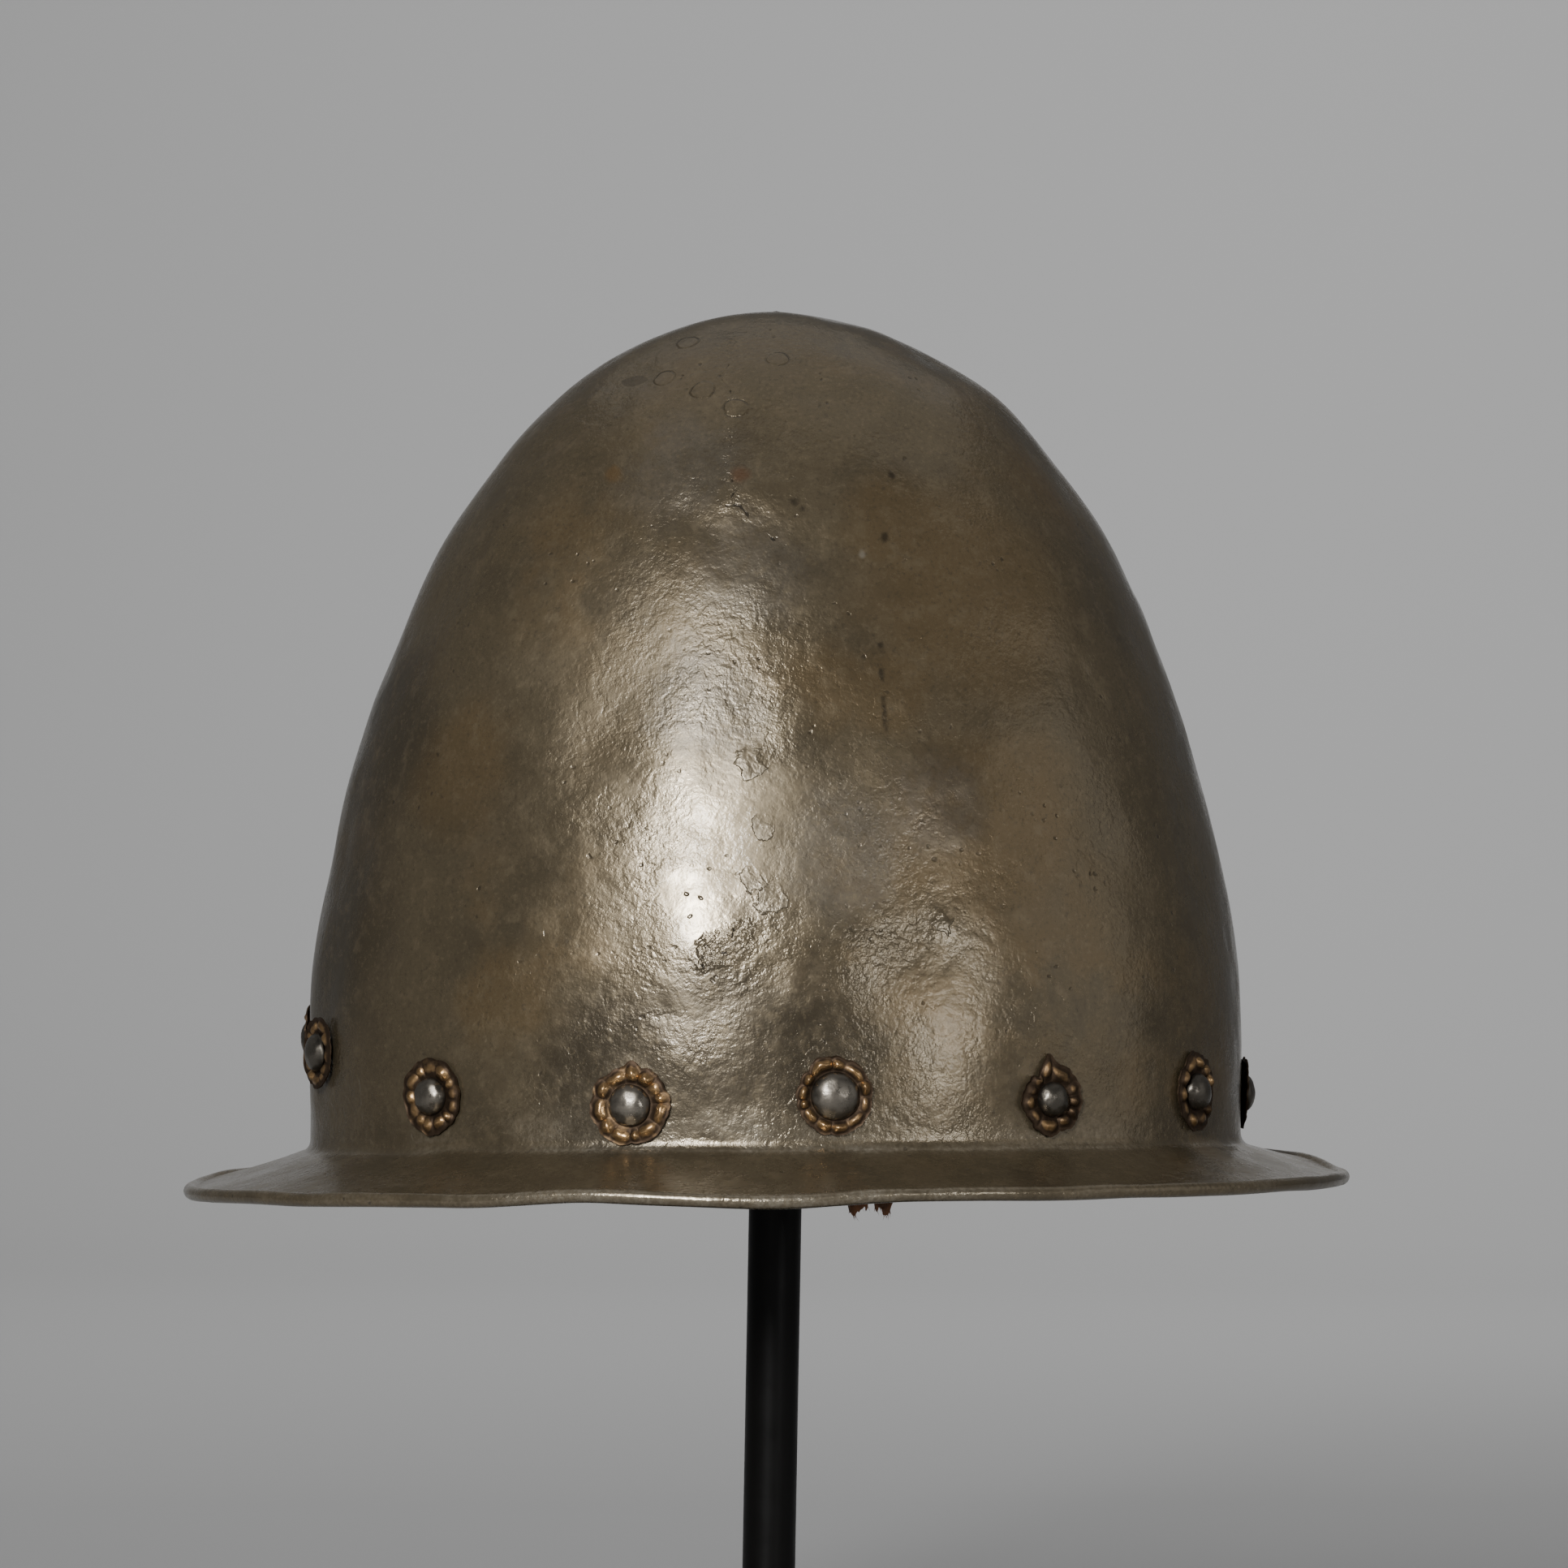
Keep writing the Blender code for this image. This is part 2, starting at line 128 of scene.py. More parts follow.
# Broad dents: where they lie, their spread as shares of the skull's height, and their depth as a
# share of the wall
DENTS = table(
    "turn up across along depth",
    (78, 0.26, 0.07, 0.17, 0.75), (112, 0.22, 0.06, 0.09, 0.45), (118, 0.52, 0.09, 0.07, 0.40),
    (60, 0.62, 0.10, 0.12, 0.40), (178, 0.62, 0.08, 0.10, 0.45), (2, 0.45, 0.07, 0.11, 0.40),
    (215, 0.35, 0.09, 0.11, 0.60), (262, 0.55, 0.10, 0.10, 0.55), (310, 0.28, 0.08, 0.12, 0.60),
)

# Hammer work over the whole skull: number of marks, and their spread and depth in metres
HAMMER_WORK = table(
    "marks spread depth",
    (90, 0.0170, 0.00038), (420, 0.0080, 0.00030), (1100, 0.0042, 0.00015),
)

# Rivets: turn round the skull, height as a share of the rivets' lift, head as a share of the
# head's radius. The rosette under each has petals, stretches over its width and height, a ragged
# edge, a torn point (its direction in degrees and length), a lifted side and a dullness.
RIVETS = table(
    "turn lift head petals wide tall ragged point tear lifted dull",
    (0, 1.00, 1.00, 13, 1.00, 1.02, 0.7, 250, 0.05, 0.10, 0.6),
    (32, 1.06, 0.95, 12, 0.98, 1.10, 0.9, 100, 0.08, 0.04, 0.9),
    (59, 0.96, 0.88, 12, 1.00, 1.00, 1.4, 92, 0.26, 0.05, 1.0),
    (86.7, 1.06, 1.20, 13, 1.05, 1.06, 0.6, 118, 0.05, 0.02, 0.35),
    (111, 0.88, 1.05, 13, 1.09, 1.07, 1.0, 88, 0.14, 0.03, 0.10),
    (139, 1.12, 0.95, 14, 1.02, 1.04, 0.6, 270, 0.04, 0.06, 0.25),
    (168, 2.02, 1.00, 13, 1.00, 1.00, 0.8, 200, 0.06, 0.16, 0.6),
    (191, 2.22, 1.00, 12, 1.02, 1.02, 0.7, 60, 0.06, 0.08, 0.5),
    (222, 1.15, 0.95, 13, 1.03, 1.00, 0.8, 20, 0.08, 0.05, 0.4),
    (250, 1.00, 1.00, 13, 1.00, 1.03, 1.0, 150, 0.10, 0.04, 0.3),
    (276, 1.05, 0.95, 14, 0.98, 1.00, 0.6, 310, 0.04, 0.03, 0.5),
    (302, 1.05, 0.90, 12, 1.02, 1.01, 1.1, 75, 0.18, 0.06, 0.7),
    (329, 1.00, 0.95, 13, 1.00, 1.02, 0.8, 190, 0.06, 0.05, 0.6),
)
SCRAP_RIVET = 3

# Marks of age on the near side, by turn and share of the height
PLUGS = table(
    "turn up",
    (136.0, 0.963), (128.8, 0.919), (113.2, 0.901), (103.0, 0.878), (92.8, 0.941),
)
CRACK = table(
    "turn up",
    (112.8, 0.966), (111.2, 0.948), (108.2, 0.927), (108.5, 0.915), (105.2, 0.898), (104.2, 0.857),
    (102.0, 0.828), (103.5, 0.813), (101.0, 0.775), (102.8, 0.759),
)
SLIT = table(
    "turn up",
    (103.2, 0.759), (99.8, 0.755), (96.0, 0.729), (93.8, 0.716),
)
SCRATCHES = (
    table("turn up", (116.5, 0.432), (124.2, 0.206)),
    table("turn up", (154.5, 0.087), (153.8, 0.030)),
    table("turn up", (143.8, 0.060), (142.8, 0.015)),
)
SPOTS = table(
    "turn up size shade",
    (100.2, 0.795, 0.0030, (0.130, 0.064, 0.032)),
    (126.8, 0.798, 0.0030, (0.170, 0.105, 0.046)),
    (79.2, 0.699, 0.0014, (0.270, 0.245, 0.190)),
    (90.0, 0.762, 0.0014, (0.016, 0.013, 0.010)),
    (88.8, 0.753, 0.0012, (0.016, 0.013, 0.010)),
    (71.0, 0.795, 0.0012, (0.016, 0.013, 0.010)),
    (75.0, 0.719, 0.0016, (0.018, 0.015, 0.011)),
)
SCALES = table(
    "turn up size",
    (97.2, 0.452, 0.0040), (94.8, 0.375, 0.0034), (96.5, 0.312, 0.0034), (94.0, 0.292, 0.0040),
    (72.8, 0.266, 0.0030),
)
FISSURES = (
    table("turn up", (101.6, 0.244), (97.2, 0.257)),
    table("turn up", (102.4, 0.219), (97.5, 0.234)),
)
STREAK = table("turn up", (78.0, 0.590), (78.6, 0.480))

# Darkest colours: in cracks, along the streak and in pits
SOOT, GRIME, PITTED = (0.012, 0.009, 0.006), (0.020, 0.017, 0.012), (0.020, 0.016, 0.011)

# Patches of the near side: burnished, painted shade, dull, golden and grey
BURNISHED = table(
    "turn up size",
    (104.4, 0.298, 0.0085), (102.4, 0.262, 0.0065),
)
# Painted shade: darker colour below the main highlight, low on the near side and along the back edge,
# where the plate turns away from the light
PAINTED_SHADE = table(
    "turn up size",
    (101.0, 0.130, 0.026), (113.0, 0.090, 0.024), (91.0, 0.120, 0.022), (168.0, 0.260, 0.034),
    (166.0, 0.480, 0.030),
)
DULL = table(
    "turn up size",
    (88.0, 0.36, 0.026), (121.0, 0.60, 0.030),
)
GOLDEN = table(
    "turn up size",
    (77.5, 0.535, 0.015), (86.0, 0.545, 0.013), (62.0, 0.650, 0.034), (64.5, 0.384, 0.030),
    (72.0, 0.730, 0.017), (128.0, 0.180, 0.015), (141.0, 0.450, 0.020),
)
GREY = table(
    "turn up size",
    (103.0, 0.525, 0.018), (85.2, 0.347, 0.017), (72.5, 0.400, 0.015), (98.0, 0.680, 0.018),
    (112.0, 0.800, 0.018),
)

# Lower edge of the leather scrap, from its front side to its back side: place across the scrap,
# and length as a share of its hang
SCRAP_EDGE = table(
    "across length",
    (0.00, 0.45), (0.09, 0.62), (0.16, 0.98), (0.27, 0.90), (0.33, 0.60), (0.40, 0.88),
    (0.52, 1.00), (0.60, 0.66), (0.80, 0.52), (1.00, 0.38),
)

# How far plugs and flakes stand off the plate, a plug's radius, and where the brim's wear and its painted
# highlight are strongest
RAISED = 0.00016
PLUG_RADIUS = 0.0033
RUBBED_AND_LIT = {"turn": 97, "spread": 26}

# Part of the crown's profile that the saddle carries
CARRIED = 0.2175

# Facets
AROUND = 440
OUTSIDE_ROWS = 130
INSIDE_ROWS = 24
FILLET_ROWS = 6
BRIM_ROWS = 9
BEAD_ROWS = 15
UNDER_ROWS = 6


# Properties


def metres(name, description, default):
    return bpy.props.FloatProperty(
        name=name, description=description, default=default, min=0.0, unit="LENGTH", precision=5
    )


def watts(name, description, default):
    return bpy.props.FloatProperty(name=name, description=description, default=default, unit="POWER")


def tint(name, description, default):
    return bpy.props.FloatVectorProperty(
        name=name, description=description, default=default, min=0.0, max=1.0, size=3, subtype="COLOR"
    )


class CabassetSkullSettings(bpy.types.PropertyGroup):
    """Sizes and colours of the skull and its brim."""

    length: metres("Length", "Length of the skull at the brim's root", 0.2396)
    width: metres("Width", "Width of the skull at the brim's root", 0.192)
    height: metres("Height", "Height of the skull over the brim's root", 0.2149)
    wall: metres("Wall", "Thickness of the plate", 0.0013)
    keel_height: metres("Keel Height", "How far the keel stands up", 0.0014)
    keel_spread: metres("Keel Spread", "Half width of the keel's flanks", 0.017)
    brim_reach: metres("Brim Reach", "How far the brim leaves the skull", 0.0282)
    brim_drop: metres("Brim Drop", "How far the brim falls to its edge", 0.0100)
    bead_proud: metres("Bead", "How far the rolled edge stands off the plate", 0.00115)
    fillet: metres("Fillet", "Size of the bend from skull to brim", 0.0028)
    root_height: metres("Root Height", "Height of the brim's root over the floor", 0.1835)
    tipped_back: bpy.props.FloatProperty(
        name="Tipped Back",
        description="How far the helmet leans back on its post",
        default=TIPPED_BACK,
        subtype="ANGLE",
    )
    profile_power: bpy.props.FloatProperty(
        name="Fullness", description="Squareness of the skull's profile", default=2.2, min=1.5
    )
    patina: tint("Patina", "Olive brown of the old surface", (0.124, 0.098, 0.060))
    dark: tint("Dark", "Darkest brown of the old surface", (0.070, 0.057, 0.038))
    rust: tint("Rust", "Golden rust that shows in patches", (0.165, 0.108, 0.047))
    grey: tint("Grey", "Greyer patches of the surface", (0.118, 0.106, 0.088))
    worn: tint("Worn", "Bare metal where the surface is rubbed", (0.30, 0.27, 0.215))


class CabassetRivetSettings(bpy.types.PropertyGroup):
    """Sizes and colours of the rivets and their rosettes."""

    lift: metres("Lift", "Height of the rivets over the brim's root", 0.0125)
    head_radius: metres("Head Radius", "Radius of a rivet's head", 0.0050)
    head_rise: metres("Head Rise", "Height of a rivet's head", 0.0030)
    shank_radius: metres("Shank Radius", "Radius of a rivet's shank", 0.0017)
    tail_radius: metres("Tail Radius", "Radius of a rivet's hammered tail", 0.0034)
    tail_thickness: metres("Tail", "Thickness of a rivet's tail", 0.0011)
    rosette_radius: metres("Rosette Radius", "Radius of a rosette", 0.0092)
    sheet: metres("Sheet", "Thickness of the rosettes' sheet", 0.00035)
    emboss: metres("Emboss", "Height of the embossed petals", 0.00125)
    seat: metres("Seat", "Gap that touching pieces keep", 0.0003)
    brass: tint("Brass", "Bright metal of the rosettes", (0.42, 0.265, 0.125))
    tarnish: tint("Tarnish", "Brown in the rosettes' hollows", (0.058, 0.038, 0.024))
    iron: tint("Iron", "Metal of the rivets' heads", (0.20, 0.18, 0.15))


class CabassetLiningSettings(bpy.types.PropertyGroup):
    """Sizes and colour of the scrap that is left of the lining band."""

    leather: metres("Leather", "Thickness of the leather", 0.0018)
    front: metres("Front", "How far the scrap runs to the front of its rivet", 0.018)
    back: metres("Back", "How far the scrap runs to the back of its rivet", 0.007)
    above: metres("Above", "How far the scrap stands above its rivet", 0.0075)
    below: metres("Below", "How far the scrap hangs below the brim's root", 0.0162)
    brown: tint("Brown", "Colour of the leather", (0.20, 0.085, 0.036))


class CabassetStandSettings(bpy.types.PropertyGroup):
    """Sizes and colour of the stand."""

    edge: metres("Edge", "Rounding of the stand's edges", 0.0012)
    seat: metres("Seat", "Gap between the stand's pieces", 0.0003)
    collar_wall: metres("Collar Wall", "Wall of the foot's collar", 0.009)
    collar_height: metres("Collar Height", "Height of the foot's collar", 0.012)
    socket_floor: metres("Socket Floor", "Floor under the post's socket", 0.008)
    hub_wall: metres("Hub Wall", "Wall of the saddle's hub", 0.007)
    hub_height: metres("Hub Height", "Height of the saddle's hub", 0.008)
    paint: tint("Paint", "Colour of the satin paint", (0.0030, 0.0027, 0.0024))


class CabassetStudioSettings(bpy.types.PropertyGroup):
    """Camera distance, light powers and backdrop of the studio."""

    camera_distance: metres("Camera Distance", "From the camera to the helmet", 2.0)
    key_power: watts("Key", "Power of the small bright light at the left", 22.5)
    tall_power: watts("Tall", "Power of the tall soft light at the left", 13.0)
    top_power: watts("Top", "Power of the soft light overhead", 4.4)
    side_power: watts("Side", "Power of the weak light at the far right", 2.8)
    floor_power: watts("Floor", "Power of the light on the floor behind", 6.5)
    fill_power: watts("Fill", "Power of the light at the right", 5.0)
    backdrop_power: watts("Backdrop", "Power of the backdrop's light", 20.5)
    room: bpy.props.FloatProperty(
        name="Room", description="Strength of the room's own light", default=0.26, min=0.0
    )
    paper: tint("Paper", "Colour of the floor and backdrop", (0.42, 0.42, 0.42))


# Shape of the skull


def eased(rows, key, column, place):
    """Values of a table's column at places along its key, eased from row to row."""
    keys = np.array([row[key] for row in rows], float)
    values = np.array([row[column] for row in rows], float)
    after = np.clip(np.searchsorted(keys, place), 1, len(keys) - 1)
    share = np.clip((place - keys[after - 1]) / (keys[after] - keys[after - 1]), 0, 1)
    share = share * share * (3 - 2 * share)
    return values[after - 1] + (values[after] - values[after - 1]) * share


def brim_at(turn, column):
    """Brim table at turns in degrees."""
    return eased(BRIM_STATIONS, "turn", column, np.asarray(turn, float) % 360)


def climb_of(skull, up):
    """Place along the profile, 0 at the root and 1 at the apex, for a share of the height."""
    return np.arcsin(np.clip(up, 0, 1) ** (skull.profile_power / 2)) * 2 / np.pi


def plain_surface(skull, turn, climb):
    """Points of the skull's outside before its keel and dents are worked in."""
    turn, climb = np.broadcast_arrays(np.asarray(turn, float), np.asarray(climb, float))
    angle, arc = np.radians(turn), climb * np.pi / 2
    up, out = np.sin(arc) ** (2 / skull.profile_power), np.cos(arc)
    half_length = skull.length / 2 * out * eased(FULLNESS, "up", "length", up)
    half_width = skull.width / 2 * out * eased(FULLNESS, "up", "width", up)
    root = skull.brim_drop * brim_at(turn, "lift")
    height = root + (skull.height - root) * up
    return np.stack([half_length * np.cos(angle), -half_width * np.sin(angle), height], axis=-1)


def outward_normal(surface, skull, turn, climb, step=0.004):
    """Unit normals of a surface of the skull."""
    climb = np.asarray(climb, float)
    low, high = np.maximum(climb - step, 0), np.minimum(climb + step, 0.9995)
    along = surface(skull, turn, high) - surface(skull, turn, low)
    across = surface(skull, turn + 1, climb) - surface(skull, turn - 1, climb)
    normal = np.cross(along, across)
    normal = np.where(climb[..., None] > 0.999, (0.0, 0.0, 1.0), normal)
    return normal / np.linalg.norm(normal, axis=-1, keepdims=True)


def broad_dents(skull, points):
    """Depth of the broad dents at points of the skull."""
    depth = np.zeros(points.shape[:-1])
    for dent in DENTS:
        away = points - plain_surface(skull, dent["turn"], climb_of(skull, dent["up"]))
        level = np.hypot(away[..., 0], away[..., 1]) / (dent["across"] * skull.height)
        rise = away[..., 2] / (dent["along"] * skull.height)
        depth += dent["depth"] * skull.wall * np.exp(-(level**2) - rise**2)
    return depth


def worked_surface(skull, turn, climb, inward=0.0):
    """Points of the skull with its keel and broad dents, or of a surface so far inward of it."""
    turn, climb = np.broadcast_arrays(np.asarray(turn, float), np.asarray(climb, float))
    plain = plain_surface(skull, turn, climb)
    off_keel = 1 - np.exp(-((plain[..., 1] / skull.keel_spread) ** 2))
    keel = skull.keel_height * off_keel * np.minimum(1.0, climb / 0.17)
    depth = keel + broad_dents(skull, plain) + inward
    return plain - outward_normal(plain_surface, skull, turn, climb) * depth[..., None]


def mark_place(skull, mark):
    """Where a mark of age lies on the worked skull."""
    return Vector(worked_surface(skull, mark["turn"], climb_of(skull, mark["up"])))


def hammer_depth(skull, points, seed):
    """Depth of the hammer's marks at points of the skull, level on average."""
    rng = np.random.default_rng(seed)
    depth = np.zeros(len(points))
    for work in HAMMER_WORK:
        turns = rng.uniform(0, 360, work["marks"])
        climbs = np.arcsin(rng.uniform(0, 1, work["marks"])) * 2 / np.pi
        spreads = work["spread"] * rng.uniform(0.7, 1.5, work["marks"])
        depths = work["depth"] * rng.uniform(-0.8, 1.6, work["marks"])
        middles = plain_surface(skull, turns, climbs)
        for middle, spread, deep in zip(middles, spreads, depths):
            near = np.abs(points[:, 2] - middle[2]) < 2.6 * spread
            away = ((points[near] - middle) ** 2).sum(axis=1)
            depth[near] += deep * np.exp(-away / spread**2)
    for place in BURNISHED:
        away = ((points - np.array(mark_place(skull, place))) ** 2).sum(axis=1)
        depth *= 1 - 0.7 * np.exp(-away / (2 * place["size"]) ** 2)
    for place in PLUGS + SCALES:
        away = ((points - np.array(mark_place(skull, place))) ** 2).sum(axis=1)
        depth -= RAISED * np.exp(-((away / place.get("size", PLUG_RADIUS) ** 2) ** 2))
    return depth


def helmet_placement(skull):
    """The helmet's own frame on its stand."""
    raised = Matrix.Translation((0, 0, skull.root_height))
    return raised @ Matrix.Rotation(-skull.tipped_back, 4, "Y")


def waver(turn, strength, seed, waves=(3, 7, 11, 17, 26)):
    """An uneven ripple round the brim."""
    rng = np.random.default_rng(seed)
    ripple = np.zeros_like(turn, dtype=float)
    for count in waves:
        ripple += rng.uniform(0.4, 1.0) * np.sin(np.radians(turn) * count + rng.uniform(0, 6.28))
    return strength * ripple / len(waves)


def bent(start, corner, end, count):
    """Rows of points inside a bend from start to end that leans on its corner."""
    shares = [(step + 1) / (count + 1) for step in range(count)]
    return [start * (1 - s) ** 2 + corner * 2 * s * (1 - s) + end * s * s for s in shares]


def brim_rows(skull, turns):
    """Rows of points from the foot of the skull's outside round the rolled edge to its inside."""
    angle = np.radians(turns)
    out = np.stack([np.cos(angle) / skull.length, -np.sin(angle) / skull.width, 0 * angle], -1)
    out /= np.linalg.norm(out, axis=1, keepdims=True)
    up = np.array([0.0, 0.0, 1.0])
    reach = (skull.brim_reach * brim_at(turns, "reach") + waver(turns, strength=0.0004, seed=3))[:, None]
    drop = (skull.brim_drop * brim_at(turns, "drop") + waver(turns, strength=0.00025, seed=4))[:, None]
    length = np.hypot(reach, drop)
    slope, raised = (out * reach - up * drop) / length, (out * drop + up * reach) / length

    root = worked_surface(skull, turns, 0.0)
    foot = climb_of(skull, skull.fillet / skull.height)
    start = root + slope * skull.fillet
    inner_corner = root - out * skull.wall - raised * skull.wall
    rows = bent(worked_surface(skull, turns, foot), root, start, FILLET_ROWS) + [start]

    half = skull.wall / 2
    uneven = waver(turns, strength=0.00022, seed=5, waves=(9, 16, 23, 31, 44))
    bead = half + skull.bead_proud + uneven[:, None]
    centre = root + slope * (length - bead) - raised * half
    meet = np.arccos(np.clip(half / bead, 0, 1))
    top = centre + raised * half - slope * bead * np.sin(meet)
    for step in range(1, BRIM_ROWS):
        share = step / BRIM_ROWS
        sag = 0.0004 * math.sin(math.pi * share)
        uneven = waver(turns, 0.00022 * math.sin(math.pi * share), 20 + step // 3)[:, None]
        rows.append(start + (top - start) * share - raised * (sag + uneven))
    for step in range(BEAD_ROWS):
        swing = (np.pi + 2 * meet) * step / (BEAD_ROWS - 1) - meet
        rows.append(centre + (raised * np.cos(swing) + slope * np.sin(swing)) * bead)
    under = start - raised * skull.wall
    lip = rows[-1]
    rows.append(lip - slope * 0.0002 + raised * 0.0003)
    for step in range(1, UNDER_ROWS):
        rows.append(lip + (under - lip) * step / UNDER_ROWS)
    rows.append(under)
    inside = worked_surface(skull, turns, foot, skull.wall)
    return rows + bent(under, inner_corner, inside, FILLET_ROWS - 1)


def shell_rows(skull):
    """Rows of points over the whole plate, and how much wear and painted highlight each row's place gets.
    """
    turns = np.arange(AROUND) * 360 / AROUND
    lowest = climb_of(skull, skull.fillet / skull.height)
    outside = np.linspace(0.992, lowest, OUTSIDE_ROWS)
    inside = np.linspace(lowest, 0.985, INSIDE_ROWS)
    grid_turn, grid_climb = np.meshgrid(turns, outside)
    points = worked_surface(skull, grid_turn, grid_climb)
    normals = outward_normal(plain_surface, skull, grid_turn, grid_climb)
    depth = hammer_depth(skull, points.reshape(-1, 3), SEED).reshape(grid_turn.shape)
    points = points - normals * depth[..., None]
    blend = np.clip((outside - lowest) / 0.02, 0, 1)[:, None, None]
    points = points * blend + worked_surface(skull, grid_turn, grid_climb) * (1 - blend)

    # Pale wear on the crease and bead, heaviest on the lit near side: partly real wear, partly a painted
    # highlight
    burnish_and_sheen = 0.30 + 0.70 * np.exp(-(((turns - RUBBED_AND_LIT["turn"]) / RUBBED_AND_LIT["spread"]) ** 2))
    rows = list(points)
    wear_and_sheen = [0.8 * math.exp(-(((climb - lowest) / 0.012) ** 2)) * burnish_and_sheen for climb in outside]
    bends = brim_rows(skull, turns)
    first_bead = FILLET_ROWS + BRIM_ROWS
    for number, row in enumerate(bends):
        rows.append(row)
        on_bend = math.exp(-(((number - FILLET_ROWS / 2) / 2.4) ** 2))
        on_bead = math.exp(-(((number - first_bead - BEAD_ROWS * 0.36) / 4.2) ** 2))
        wear_and_sheen.append(max(on_bend, on_bead) * burnish_and_sheen)
    for climb in inside:
        rows.append(worked_surface(skull, turns, climb, skull.wall))
        wear_and_sheen.append(burnish_and_sheen * 0)
    inner_from = OUTSIDE_ROWS + first_bead + BEAD_ROWS + 1
    return rows, wear_and_sheen, inner_from


def shell_mesh(skull):
    """The skull, brim and rolled edge as one closed mesh with its wear and painted highlight and its
    inside marked.
    """
    rows, wear_and_sheen, inner_from = shell_rows(skull)
    count = len(rows)
    crowns = [worked_surface(skull, 0.0, 1.0), worked_surface(skull, 0.0, 1.0, skull.wall)]
    points = np.vstack(rows + crowns)
    faces = [face[1:] + face[:1] for face in strip_faces(count, AROUND)]
    faces += flipped(fan(0, AROUND, count * AROUND))
    faces += fan((count - 1) * AROUND, AROUND, count * AROUND + 1)
    mesh = new_mesh("skull_shell", points, faces)
    mark(mesh, "wear_and_sheen", np.append(np.concatenate(wear_and_sheen), (0.0, 0.0)))
    inner = np.repeat(np.arange(count) >= inner_from, AROUND)
    mark(mesh, "inner", np.append(inner, (False, True)))
    return mesh


# Shared making


def new_mesh(name, points, faces):
    mesh = bpy.data.meshes.new(name)
    mesh.from_pydata([tuple(point) for point in points], [], faces)
    return mesh


def put(name, data):
    """A new object in the scene."""
    made = bpy.data.objects.new(name, data)
    bpy.context.scene.collection.objects.link(made)
    return made


def mark(mesh, name, values):
    """Writes a number on each vertex for the material to read."""
    attribute = mesh.attributes.new(name, "FLOAT", "POINT")
    attribute.data.foreach_set("value", np.asarray(values, np.float32))


def show(name, mesh, material, placement=None):
    """Puts a mesh into the scene as a smooth piece that rides on the helmet's body."""
    mesh.name = name
    mesh.materials.append(material)
    mesh.shade_smooth()
    mesh.set_sharp_from_angle(angle=math.radians(50))
    piece = put(name, mesh)
    if placement:
        piece.matrix_world = placement
    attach(piece, BODY)
    return piece


def direction(lean, way):
    """Unit vector that leans so far from the Z axis, turned so far round it."""
    return Vector((math.sin(lean) * math.cos(way), math.sin(lean) * math.sin(way), math.cos(lean)))


def circle(radius, height, sides):
    """Points round the Z axis."""
    turns = [2 * math.pi * side / sides for side in range(sides)]
    return [Vector((radius * math.cos(turn), radius * math.sin(turn), height)) for turn in turns]


def strip_faces(rows, columns, wrapped=True):
    """Quads between rows of a grid of points."""
    faces = []
    for row in range(rows - 1):
        for side in range(columns if wrapped else columns - 1):
            beside = (side + 1) % columns
            here, above = row * columns, (row + 1) * columns
            faces.append((here + side, here + beside, above + beside, above + side))
    return faces


def flipped(faces, offset=0):
    """Faces that look the other way, on points so many places further on."""
    return [tuple(offset + corner for corner in reversed(face)) for face in faces]


def fan(first, sides, tip):
    """Triangles from a closed row of points to a tip."""
    return [(first + side, first + (side + 1) % sides, tip) for side in range(sides)]


def turned_mesh(name, profile, sides):
    """A turned solid from a profile of radius and height that starts and ends on the axis."""
    inner = profile[1:-1]
    points = [point for radius, height in inner for point in circle(radius, height, sides)]
    count = len(points)
    faces = strip_faces(len(inner), sides)
    faces += flipped(fan(0, sides, count)) + fan(count - sides, sides, count + 1)
    return new_mesh(name, points + [(0, 0, profile[0][1]), (0, 0, profile[-1][1])], faces)


def rounded_edges(piece, width):
    """Rounds a piece's sharp edges."""
    bevel = piece.modifiers.new("rounded", "BEVEL")
    bevel.width = width
    bevel.segments = 3
    bevel.limit_method = "ANGLE"
    bevel.angle_limit = math.radians(40)


# Rivets and rosettes


def rivet_place(skull, rivets, rivet):
    """Placement of a rivet on the skull, local Z outward, and how the wall curves there."""
    turn = rivet["turn"]
    root = skull.brim_drop * float(brim_at(turn, "lift"))
    climb = float(climb_of(skull, rivets.lift * rivet["lift"] / (skull.height - root)))
    outward = Vector(outward_normal(worked_surface, skull, turn, climb, 0.03))
    upward = (Vector((0, 0, 1)) - outward * outward.z).normalized()
    sideways = upward.cross(outward)
    turned_to = Matrix((sideways, upward, outward)).transposed().to_4x4()
    here = Matrix.Translation(worked_surface(skull, turn, climb)) @ turned_to
    back = here.inverted()
    sides = [back @ Vector(worked_surface(skull, turn + step, climb)) for step in (-4, 4)]
    ends = [back @ Vector(worked_surface(skull, turn, climb + step)) for step in (-0.02, 0.03)]
    across = sum(point.z / point.x**2 for point in sides) / 2
    along = sum(point.z / point.y**2 for point in ends) / 2
    return helmet_placement(skull) @ here, across, along


